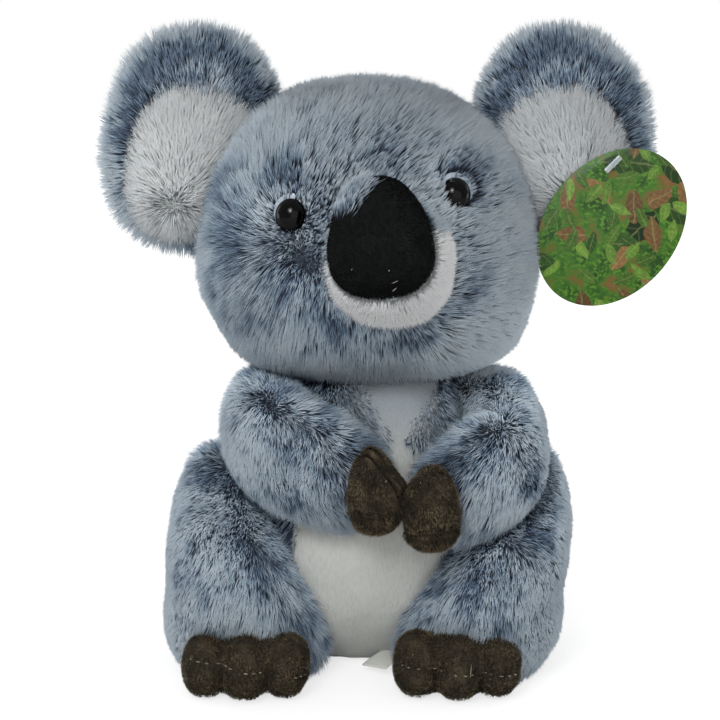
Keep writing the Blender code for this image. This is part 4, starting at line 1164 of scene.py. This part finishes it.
def belly_prism(spare):
    right, left = [], []
    count = 6 * (len(BELLY_ROWS) - 1)
    for step in range(count + 1):
        height, shift, width = spline(BELLY_ROWS, step / 6)
        middle = shift * BODY_HALF_WIDTH
        half = width * BELLY_HALF_WIDTH + spare
        right.append((middle - half, height * NECK_HEIGHT))
        left.append((middle + half, height * NECK_HEIGHT))
    outline = right + left[::-1]
    return add_rings("belly_prism", [
        [Vector((x, depth, z)) for x, z in outline] for depth in (-REACH, BELLY_REAR)])


def make_body():
    cloth = combed(body_form("body_cloth"), body_rule)
    neighbours = beside("right_leg", "left_leg", "right_arm", "left_arm", "head")
    for layer, seed in (("under", 1), ("over", 2)):
        grown("body_pile_" + layer, cloth, "body", GREY_PILE, seed=seed,
              density=0.90e6, neighbours=neighbours)
    remove(neighbours)
    panel = combine(copied(cloth, "belly"), belly_prism(0), "INTERSECT")
    cut_by(cloth, belly_prism(GAP))
    remeshed(panel, voxel=0.0013, smooth=4)

    def rumpled(place, normal):
        lump = 0.0005 + 0.0006 * mottle(place, 0.016, 40) + 0.0003 * mottle(place, 0.005, 41)
        raised = place + normal * lump
        raised.z = max(raised.z, 0.0002)
        return raised
    sculpt(panel, rumpled)
    padded_piece(cloth, GREY_BACKING, "body", 0.8,
                 "body_skin", "body_stuffing", "seat_panel", "pellet_pouch")
    padded_piece(panel, BELLY_PILE, "body", 0.8, "belly_panel")


def make_head():
    cloth = combed(head_form("head_cloth"), head_rule)
    nose = moved(copied(FORMS["nose"], "nose"), Matrix.Translation((0.0012, 0, -0.0012)))
    muzzle = combine(muzzle_form("muzzle", 0.0016), block(
        "lower", (-REACH, -REACH, 0), (REACH, REACH, 0.172)), "INTERSECT")
    clear = joined("clear", [FORMS["right_eye"], FORMS["left_eye"], nose, muzzle])
    neighbours = beside("body", "right_ear", "left_ear", "nose", "muzzle")
    for layer, seed in (("under", 11), ("middle", 12), ("over", 13)):
        grown("head_pile_" + layer, cloth, "head", GREY_PILE, seed=seed,
              density=1.12e6, tones=0.45, lift=0.95, neighbours=neighbours, kept_clear=clear)
    remove(neighbours, nose, muzzle, clear)
    padded_piece(cloth, GREY_BACKING, "head", 0.9, "head_skin", "head_stuffing")


def make_muzzle():
    cloth = combed(muzzle_form("muzzle"), muzzle_rule)
    brow = combed(muzzle_form("brow"), brow_rule)
    clear = beside("nose")
    neighbours = beside("head", "nose")
    grown("muzzle_pile", cloth, "head", MUZZLE_PILE, seed=15, density=6.0e6, girth=0.00019,
          tuft=(0.004, 0.12), lock=(0.0011, 0.45), tones=0.25, margin=0.0004,
          neighbours=neighbours, kept_clear=clear)
    grown("muzzle_brow_pile", brow, "head", GREY_PILE, seed=17, density=4.5e6, margin=0.0004,
          neighbours=neighbours, kept_clear=clear)
    remove(neighbours, clear, brow)
    cut_by(cloth, head_form("head", -GAP))
    padded_piece(cloth, WHITE_BACKING, "head", 0.7, "muzzle_patch")


def nose_brow_rule(place, normal):
    """Grey pile that lies over the upper edge of the nose, on its right side."""
    edge = smooth_step(0.60, 0.85, 0.70 * normal.z - 0.70 * normal.x)
    edge *= smooth_step(0.180, 0.183, place.z) * smooth_step(0.1945, 0.1915, place.z)
    _, _, tone, _ = head_rule(place, normal)
    return Vector((0.62, -0.10, 0.72)), 0.0046, tone, edge


def make_nose():
    brow = combed(nose_form("brow"), nose_brow_rule)
    grown("nose_brow_pile", brow, "head", GREY_PILE, seed=18, density=5.0e6, girth=0.00022,
          lift=0.45)
    remove(brow)
    nose = nose_form("nose_pad")
    cut_by(nose, head_form("head", -GAP), muzzle_form("muzzle", GAP))
    remeshed(nose, voxel=0.0010, smooth=3)
    sculpt(nose, lambda place, normal: place + normal * (
        0.00035 * mottle(place, 0.008, 50) + 0.0001))
    combed(nose, short_rule((0.3, 0, -0.3), length=0.0010, seed=51, tone=0.35))
    neighbours = beside("head", "muzzle")
    grown("nose_pile", nose, "head", BLACK_PILE, seed=16, density=2.6e6, girth=0.00018,
          tuft=(0.003, 0.1), lock=(0.0010, 0.5), scatter=0.35, neighbours=neighbours)
    remove(neighbours)
    fluffed("nose_fluff", nose, NOSE_FLUFF, "head")
    padded_piece(nose, BLACK_VELVET, "head", 0.9, "nose")


def dome(radius, rise, steps):
    """The profile of a dome, from its top to its edge."""
    angles = [math.pi / 2 * step / steps for step in range(1, steps + 1)]
    return [(0, rise)] + [(radius * math.sin(angle), rise * math.cos(angle)) for angle in angles]


def make_eye(side):
    """A safety eye on its shank, a little taller than wide, and the thin rim behind it."""
    frame_here = eye_frame(side)
    shank = [(0.002, -0.0002), (0.002, -0.012), (0.0012, -0.013), (0, -0.013)]
    upward = frame_here.inverted().to_3x3() @ Vector((0, 0, 1))
    upward.z = 0
    upward.normalize()
    eye = turned(side + "_eye_dome", dome(EYE_RADIUS, EYE_RISE, 16)
                 + [(EYE_RADIUS * 0.97, -0.0002)] + shank, 48)
    taller = Matrix.Translation(upward * -0.0004) @ Matrix.Scale(1.10, 4, upward)
    moved(moved(eye, taller), frame_here)
    eye.data.set_sharp_from_angle(angle=math.radians(50))
    dress(eye, EYE_PLASTIC, False)
    outer, thick, edge = 0.0071, 0.0016, 0.0005
    profile = [(0, -GAP), (outer - edge, -GAP)]
    profile += [(outer - edge + x, -GAP - edge + y) for x, y in dome(edge, edge, 4)[1:]]
    profile += [(outer, -GAP - thick), (0, -GAP - thick)]
    rim = moved(turned(side + "_eye_ring", profile, 56), Matrix.Translation(upward * 0.0011))
    bore = turned("bore", ((0.00235, 0.01), (0.00235, -0.01)), 24)
    cut_by(rim, bore)
    moved(rim, frame_here)
    rim.data.shade_smooth()
    rim.data.set_sharp_from_angle(angle=math.radians(50))
    dress(rim, RIM_PLASTIC, False)
    for item, node in ((eye, side + "_eye"), (rim, side + "_eye_rim")):
        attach(item, "head")
        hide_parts(node)


def make_ear(side):
    body = side + "_ear"
    back = moved(soft_form(side + "_ear_cloth", EAR_HALVES, 56, 40), ear_stand(side))
    combed(back, ear_rule(side))
    lining = moved(soft_form(side + "_ear_lining_cloth", LINING_HALVES, 48, 32), lining_stand(side))
    combed(lining, lining_rule(side))
    neighbours = beside("head")
    grown(side + "_ear_pile", back, body, GREY_PILE, seed=21, density=3.25e6,
          neighbours=neighbours)
    grown(side + "_ear_lining_pile", lining, body, WHITE_PILE, seed=22, density=6.5e6,
          girth=0.00022, tuft=(0.009, 0.12), lock=(0.0017, 0.45), tones=0.22, scatter=0.16,
          neighbours=neighbours)
    remove(neighbours)
    recess = moved(soft_form("recess", [half + GAP for half in LINING_HALVES], 48, 32),
                   lining_stand(side))
    cut_by(back, recess, head_form("head", -GAP))
    cut_by(lining, head_form("head", -GAP))
    padded_piece(back, GREY_BACKING, body, 0.5, side + "_ear_back")
    padded_piece(lining, WHITE_BACKING, body, 0.5, side + "_ear_lining")


# The short pile of the hands and the feet
VELOUR = {"girth": 0.00017, "tuft": (0.004, 0.15), "lock": (0.0012, 0.6), "scatter": 0.3,
          "lift": 0.6}


def make_arm(side):
    body = side + "_arm"
    cloth = arm_form(side)
    cloth.name = side + "_arm_cloth"
    seed, slim = (60, 0.25) if side == "right" else (64, 0.50)
    combed(cloth, limb_rule(side, ARM_ROUTES[side], seed, droop=0.45, out=0.15, slim=slim))
    neighbours = beside("body", "head", side + "_hand", side + "_leg")
    clear = beside("right_hand", "left_hand")
    grown(side + "_arm_pile", cloth, body, GREY_PILE, seed=31, density=3.7e6,
          neighbours=neighbours, kept_clear=clear, margin=0.0008)
    remove(neighbours, clear)
    cut_by(cloth, body_form("body", -GAP), copied(FORMS[side + "_hand"], "hand"))
    padded_piece(cloth, GREY_BACKING, body, 0.8, side + "_arm_skin", side + "_arm_stuffing")


def make_hand(side):
    """A brown hand of two panels with a seam, on its arm."""
    body = side + "_arm"
    hand = hand_form(side + "_hand", side)
    shares, _, seam, distance = HANDS[side]
    middle = at_shares(shares)
    seam_place = middle + seam * distance

    def seamed(place, normal):
        gap = (place - seam_place).dot(seam)
        deep = 0.0018 if side == "right" else 0.0030
        dent = deep * math.exp(-(gap / 0.0008) ** 2) - 0.0008 * smooth_step(0.0, 0.0018, gap)
        return place - normal * dent + normal * 0.00035 * mottle(place, 0.006, 70)

    def squared(place, normal):
        """The corner of the paw where its two panels meet falls away."""
        x, z = place.x - middle.x, place.z - middle.z
        low = smooth_step(-0.002, -0.011, z)
        if side == "right":
            x *= 1 + 0.22 * low if x > 0 else 0.93
            if z > 0:
                z *= 1 - 0.62 * smooth_step(-0.002, 0.0105, x)
        else:
            x *= 1 + 0.24 * low if x < 0 else 0.96
            if z > 0:
                z *= (0.94 - 0.32 * smooth_step(-0.001, -0.010, x)
                      - 0.15 * smooth_step(0.004, 0.010, x))
        return Vector((middle.x + x, place.y, middle.z + z))
    sculpt(hand, squared)
    remeshed(hand, voxel=0.0007, smooth=2)
    sculpt(hand, seamed)
    nap = short_rule((0.1, -0.1, -0.6), length=0.0019, seed=71 if side == "right" else 75)

    def paw_rule(place, normal):
        flow, length, tone, growth = nap(place, normal)
        gap = (place - seam_place).dot(seam)
        # Painted light on the underside, for light from behind the outline, and painted shade along
        # the seam
        tone += 0.4 * smooth_step(0.2, 0.9, -normal.z) - 0.5 * math.exp(-(gap / 0.0022) ** 2)
        return flow, length, tone, growth * smooth_step(0.0004, 0.0010, abs(gap))
    combed(hand, paw_rule)
    neighbours = beside(side + "_arm")
    grown(side + "_hand_pile", hand, body, BROWN_PILE, seed=33, density=5.2e6,
          neighbours=neighbours, **VELOUR)
    remove(neighbours)
    fluffed(side + "_hand_fluff", hand, HAND_FLUFF[side], body)
    padded_piece(hand, BROWN_VELVET, body, 0.8, side + "_hand_back", side + "_hand_palm")


def thread(name, points, radius):
    """A short thread through a few points, round at both ends."""
    rings = []
    count = len(points) - 1
    for number, point in enumerate(points):
        ahead = (points[min(number + 1, count)] - points[max(number - 1, 0)]).normalized()
        across = ahead.orthogonal().normalized()
        swell = 0.45 if number in (0, count) else 1.0
        rings.append(oval(6, point, across * radius * swell,
                          ahead.cross(across) * radius * swell, 2))
    return add_rings(name, rings)


def fluffed(name, item, spots, body):
    """Loose pale threads that cling to the nap: place across and up, half length and degrees."""
    made = []
    for x, z, half, degrees in spots:
        found, point, normal, _ = item.ray_cast(Vector((x, -REACH, z)), Vector((0, 1, 0)))
        if found:
            along = Vector((math.cos(math.radians(degrees)), 0, math.sin(math.radians(degrees))))
            along = (along - normal * along.dot(normal)).normalized() * half
            middle = point + normal * 0.0012
            bow = middle + normal * 0.0001
            made.append(thread("fluff", [middle - along, bow, middle + along], 0.00011))
    if made:
        whole = joined(name, made)
        remove(*made)
        dress(whole, THREAD)
        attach(whole, body)


def seam_height(side, x):
    """How high the seam of a foot runs at a place across."""
    middle, slope = SEAMS[side]
    return middle + slope * (x - at_shares(FEET[side]).x)


def stitched(side, foot, body):
    """A broken line of stitches along the front of the foot's seam."""
    section = bmesh.new()
    section.from_mesh(foot.data)
    whole = section.verts[:] + section.edges[:] + section.faces[:]
    cut = bmesh.ops.bisect_plane(section, geom=whole, plane_co=(0, 0, seam_height(side, 0.0)),
                                 plane_no=(-SEAMS[side][1], 0, 1))["geom_cut"]
    line = [item.co.copy() for item in cut if isinstance(item, bmesh.types.BMVert)]
    section.free()
    centre = at_shares(FEET[side])
    line = sorted((point for point in line if point.y < centre.y - 0.004), key=lambda point: (
        math.atan2(point.x - centre.x, centre.y - point.y)))
    stitches, walked, slot = [], 0.0, 0
    for number in range(1, len(line)):
        walked += (line[number] - line[number - 1]).length
        if walked > 0.0030:
            if (len(stitches) * 7 + slot) % 5:
                out = (line[number] - centre).to_2d().normalized().to_3d() * 0.0012
                middle = line[number]
                along = (line[number] - line[number - 1]).normalized() * 0.0008
                stitches.append(thread("stitch", [middle - along + out * 0.5, middle + out,
                                                  middle + along + out * 0.5], 0.0002))
            slot += 1
            walked = 0.0
    if stitches:
        seam = joined(side + "_foot_stitches", stitches)
        remove(*stitches)
        dress(seam, THREAD)
        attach(seam, body)


def make_leg(side):
    body = side + "_leg"
    cloth = leg_form(side)
    cloth.name = side + "_leg_cloth"
    seed = 80 if side == "right" else 84
    combed(cloth, limb_rule(side, LEG_ROUTES[side], seed, droop=0.55, out=0.20, slim=0.55))
    neighbours = beside("body", side + "_arm", side + "_foot")
    clear = beside(side + "_foot")
    for layer, seed in (("under", 41), ("over", 42)):
        grown(f"{side}_leg_pile_{layer}", cloth, body, GREY_PILE, seed=seed,
              density=1.62e6, lift=0.65, neighbours=neighbours, kept_clear=clear, margin=-1.0)
    remove(neighbours, clear)
    cut_by(cloth, body_form("body", -GAP), arm_form(side, -GAP),
           copied(FORMS[side + "_foot"], "foot"))
    combine(cloth, above_floor(), "INTERSECT")
    padded_piece(cloth, GREY_BACKING, body, 0.8, side + "_leg_skin", side + "_leg_stuffing")


def make_foot(side):
    """A brown foot with three toes and a slanting stitched seam, on its leg."""
    body = side + "_leg"
    foot = copied(FORMS[side + "_foot"], side + "_foot")
    middle = at_shares(FEET[side])

    def seamed(place, normal):
        height = seam_height(side, place.x)
        dent = 0.0009 * math.exp(-((place.z - height) / 0.0007) ** 2)
        cleft = math.exp(-((abs(place.x - middle.x) - 0.0087) / 0.0011) ** 2)
        front = smooth_step(middle.y - 0.002, middle.y - 0.010, place.y)
        below = smooth_step(height, height - 0.002, place.z)
        dent += 0.0016 * cleft * front * (0.35 + 0.65 * below)
        lump = 0.0005 * mottle(place, 0.007, 90) if place.z > 0.002 else 0
        shaped = place - normal * dent + normal * lump
        shaped.z = max(shaped.z, 0.0)
        return shaped
    remeshed(foot, voxel=0.0010, smooth=5)
    sculpt(foot, seamed)
    combed(foot, short_rule((0, -0.5, -0.3), length=0.0016, seed=91 if side == "right" else 95))
    neighbours = beside(side + "_leg")
    grown(side + "_foot_pile", foot, body, BROWN_PILE, seed=43, density=3.6e6,
          neighbours=neighbours, **VELOUR)
    remove(neighbours)
    stitched(side, foot, body)
    fluffed(side + "_foot_fluff", foot, FOOT_FLUFF[side], body)
    padded_piece(foot, BROWN_VELVET, body, 0.8, side + "_foot_upper", side + "_foot_sole")


def tag_finish():
    """Laminated card printed with plain leaves."""
    made, board, shader = finish("leafy_card", 0.5, gleam=0.12)
    x, _, z = board.parts(board.place())
    flat = board.out("ShaderNodeCombineXYZ", {}, {0: x, 1: z})
    flat = board.vector("ADD", flat, board.scaled(board.drift(flat, 90.0), 0.004))
    ground = grain(board, 0.011, 2.0, flat)
    foliage = grain(board, 0.0014, 4.0, flat)
    stops = tuple(zip((0.0, 0.40, 0.52, 0.62, 0.85), shades("14230f 23421a 3a6421 6b4c2b 8f7247")))
    colour = board.out("ShaderNodeValToRGB", {"stops": stops},
                       {0: ground * 0.75 + foliage * 0.25})
    colour = board.mixed(foliage.between(0.50, 0.62) * (1.0 - ground.between(0.45, 0.60)), colour,
                         rgb("4f7826"))
    for width, seed, colours in ((0.019, 0.0, "10240f 30521d"), (0.013, 3.1, "3f2a19 83613c"),
                                 (0.008, 7.7, "1e4314 6b9036")):
        shifted = board.vector("ADD", flat, (seed, seed * 1.7, 0))
        cell = board.add("ShaderNodeTexVoronoi", {"voronoi_dimensions": "2D"}, {
            "Vector": shifted, "Scale": 1 / width, "Randomness": 0.8})
        local = board.vector("SUBTRACT", shifted, Value(board, cell.outputs["Position"]))
        heading, hue, presence = board.parts(Value(board, cell.outputs["Color"]))
        along, across, _ = board.parts(board.out(
            "ShaderNodeVectorRotate", {"rotation_type": "Z_AXIS"}, {
                "Vector": local, "Angle": heading * math.tau}))
        x = along / (width * 0.62)
        y = across.maths("ABSOLUTE") / (width * 0.26)
        leaf = (1.0 - x * x - y).between(0.0, 0.10)
        vein = 1.0 - (y - 0.03).between(0.0, 0.10)
        ribs = ((x + y * 0.35) * 3.2).maths("FRACT").between(0.72, 0.95)
        here = board.mixed(hue, *shades(colours))
        here = board.mixed(vein.maths("MAXIMUM", ribs * 0.5) * 0.25, here, rgb("a4ac70"))
        here = board.mixed(foliage.between(0.35, 0.65) * 0.35, here, rgb("1b2412"))
        shown = leaf * presence.between(0.45, 0.50)
        colour = board.mixed(shown, colour, here)
    coloured(board, shader, colour)
    bumped(board, shader, grain(board, 0.004), 0.00006, 0.3)
    return made


def make_tag():
    """An oval card with softened edges and the hole that it hangs by."""
    half_long, half_wide = TAG_HALVES
    half, edge = TAG_HALF_THICKNESS, 0.00015
    rings = [oval(120, Vector((0, depth, 0)), Vector((half_long - inset, 0, 0)),
                  Vector((0, 0, half_wide - inset)), 2) for inset, depth in (
        (0.00025, -half), (0.0, -half + edge), (0.0, half - edge), (0.00025, half))]
    card = add_rings("leafy_tag", rings)
    moved(card, Matrix.Translation(TAG_HOLE - Vector((0, 0, TAG_DROP)))
          @ Matrix.Rotation(TAG_TURN, 4, "Y"))
    bore = turned("bore", ((0.002, 0.01), (0.002, -0.01)), 32)
    moved(bore, Matrix.Translation(TAG_HOLE) @ Matrix.Rotation(math.radians(90), 4, "X"))
    cut_by(card, bore)
    card.data.shade_smooth()
    card.data.set_sharp_from_angle(angle=math.radians(35))
    dress(card, tag_finish(), False)
    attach(card, "tag")
    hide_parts("hang_tag")


def satin_finish():
    """Woven satin ribbon, bare."""
    made, board, shader = finish("bare_satin", 0.45, gleam=0.4)
    weave = grain(board, 0.0005, 1.0)
    coloured(board, shader, board.mixed(weave.between(0.3, 0.7), *shades("c6c8c0 d9dad3")))
    bumped(board, shader, weave, 0.00008)
    return made


def make_label():
    """The blank ribbon label in the seat seam, with a soft curl."""
    width, length, thick, columns, rows = 0.012, 0.014, 0.0004, 12, 14
    points, faces = [], []
    for sheet in (0, 1):
        for row in range(rows + 1):
            for column in range(columns + 1):
                x, y = (column / columns - 0.5) * width, -row / rows * length
                lift = 0.0010 * math.sin(2.6 * row / rows) * (0.4 + column / columns)
                points.append((x, y, 0.0001 + sheet * thick + lift))
    across = columns + 1
    step = across * (rows + 1)
    for row in range(rows):
        for column in range(columns):
            corner = row * across + column
            faces.append((corner, corner + 1, corner + across + 1, corner + across))
            faces.append((corner + step, corner + step + across, corner + step + across + 1,
                          corner + step + 1))
    edge = ([column for column in range(across)]
            + [row * across + columns for row in range(1, rows + 1)]
            + [rows * across + column for column in range(columns - 1, -1, -1)]
            + [row * across for row in range(rows - 1, 0, -1)])
    for first, second in zip(edge, edge[1:] + edge[:1]):
        faces.append((second, first, first + step, second + step))
    mesh = bpy.data.meshes.new("satin_label")
    mesh.from_pydata(points, [], faces)
    mesh.update()
    if signed_volume(mesh) < 0:
        mesh.flip_normals()
    label = piece_of("satin_label", mesh)
    turn = Matrix.Rotation(math.radians(-38), 4, "Z") @ Matrix.Rotation(math.radians(14), 4, "X")
    moved(label, Matrix.Translation(at_shares((0.24, -0.724, 0.05))) @ turn)
    dress(label, satin_finish())
    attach(label, "body")
    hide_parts("sewn_in_label")


def forms():
    """The plain blocks of the pieces, which others' pile is kept out of."""
    made = {"head": head_form("head_block"), "body": body_form("body_block"),
            "nose": nose_form("nose_block"), "muzzle": muzzle_form("muzzle_block")}
    for side in SIGNS:
        made[side + "_ear"] = moved(soft_form("ear_block", EAR_HALVES, 48, 32), ear_stand(side))
        made[side + "_arm"] = arm_form(side)
        made[side + "_leg"] = leg_form(side)
        made[side + "_hand"] = hand_form("hand_block", side)
        made[side + "_foot"] = foot_form("foot_block", side)
        profile = dome(EYE_ROOM_RADIUS, EYE_ROOM_RISE, 8)
        profile += [(EYE_ROOM_RADIUS, -0.004), (0, -0.004)]
        made[side + "_eye"] = moved(turned("eye_block", profile, 24), Matrix.Translation(
            EYE_ROOM[side]) @ eye_frame(side))
    return made


FORMS = forms()
make_body()
make_head()
make_muzzle()
make_nose()
for SIDE in SIGNS:
    for make in (make_eye, make_ear, make_arm, make_hand, make_leg, make_foot):
        make(SIDE)
make_tag()
make_label()
for NODE, MATERIAL in (("right_eye_washer", WASHER_PLASTIC), ("left_eye_washer", WASHER_PLASTIC),
                       ("tag_pin", CLEAR_PLASTIC)):
    dress(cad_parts[NODE], MATERIAL, False)
remove(*FORMS.values(), STRAND, FAR_OFF)
bpy.data.node_groups.remove(PILE)


# ---------------------------------------------------------------- studio

def lamp(name, place, target, size, power):
    """A round lamp; the one named glint shows only in what shines."""
    light = bpy.data.lights.new(name, "AREA")
    light.shape = "DISK"
    light.size = size
    light.energy = power
    item = piece_of(name, light)
    item.location = place
    item.rotation_euler = (Vector(target) - Vector(place)).to_track_quat("-Z", "Y").to_euler()
    item.visible_diffuse = name != "glint"


# Each lamp: its name, its place, the height that it points at, its width and its power
LAMPS = (
    ("key", (-0.30, -1.2, 0.95), 0.12, 0.7, 10.5),
    ("glint", (-0.30, -1.2, 0.95), 0.12, 0.09, 40.0),
    ("fill", (0.45, -1.35, 0.22), 0.12, 1.5, 6.0),
    ("right_back", (-0.9, 0.65, 0.45), 0.12, 0.8, 4.0),
    ("left_back", (0.9, 0.65, 0.45), 0.12, 0.8, 4.0),
    ("right_side", (-1.15, 0.20, 0.02), 0.05, 0.6, 3.0),
    ("left_side", (1.15, 0.20, 0.02), 0.05, 0.6, 3.0),
)
CAMERA_TARGET = Vector((-0.002, 0.0, 0.117))
CAMERA_DISTANCE = 0.950
CAMERA_HEIGHT = math.radians(9)
CAMERA_LENS = 117.9


def studio():
    for name, place, target_height, size, power in LAMPS:
        lamp(name, place, (0, 0, target_height), size, power)
    world = bpy.data.worlds.new("soft_studio")
    bpy.context.scene.world = world
    world.use_nodes = True
    board = Board(world.node_tree)
    background = world.node_tree.nodes["Background"]
    background.inputs["Color"].default_value = (1, 1, 1, 1)
    rays = board.add("ShaderNodeLightPath")
    seen = Value(board, rays.outputs["Is Camera Ray"]).maths(
        "MAXIMUM", Value(board, rays.outputs["Is Transmission Ray"]))
    board.tree.links.new((seen * 0.42 + 0.58).socket, background.inputs["Strength"])

    floor = bpy.data.meshes.new("floor")
    floor.from_pydata([(-4, -4, 0), (4, -4, 0), (4, 4, 0), (-4, 4, 0)], [], [(0, 1, 2, 3)])
    item = piece_of("floor", floor)
    made, board, shader = finish("pale_floor", 0.9)
    coloured(board, shader, board.mixed(grain(board, 0.3) * 0.1, (0.86, 0.86, 0.86, 1),
                                        (0.82, 0.82, 0.82, 1)))
    glow = board.add("ShaderNodeEmission", {}, {"Color": (1, 1, 1, 1), "Strength": 1.2})
    rays = board.add("ShaderNodeLightPath")
    far = board.vector("LENGTH", board.place()).between(0.15, 0.7)
    share = Value(board, rays.outputs["Is Camera Ray"]) * (far * 0.4 + 0.6)
    blend = board.add("ShaderNodeMixShader", {}, {0: share, 1: Value(board, shader.outputs[0]),
                                                  2: Value(board, glow.outputs[0])})
    board.tree.links.new(blend.outputs[0], board.tree.nodes["Material Output"].inputs["Surface"])
    item.data.materials.append(made)

    lens = bpy.data.cameras.new("camera")
    lens.lens = CAMERA_LENS
    lens.sensor_width = 36.0
    item = piece_of("camera", lens)
    back = Vector((0, -math.cos(CAMERA_HEIGHT), math.sin(CAMERA_HEIGHT)))
    item.location = CAMERA_TARGET + back * CAMERA_DISTANCE
    item.rotation_euler = (-back).to_track_quat("-Z", "Y").to_euler()
    bpy.context.scene.camera = item
    bpy.context.scene.view_settings.view_transform = "Standard"


studio()
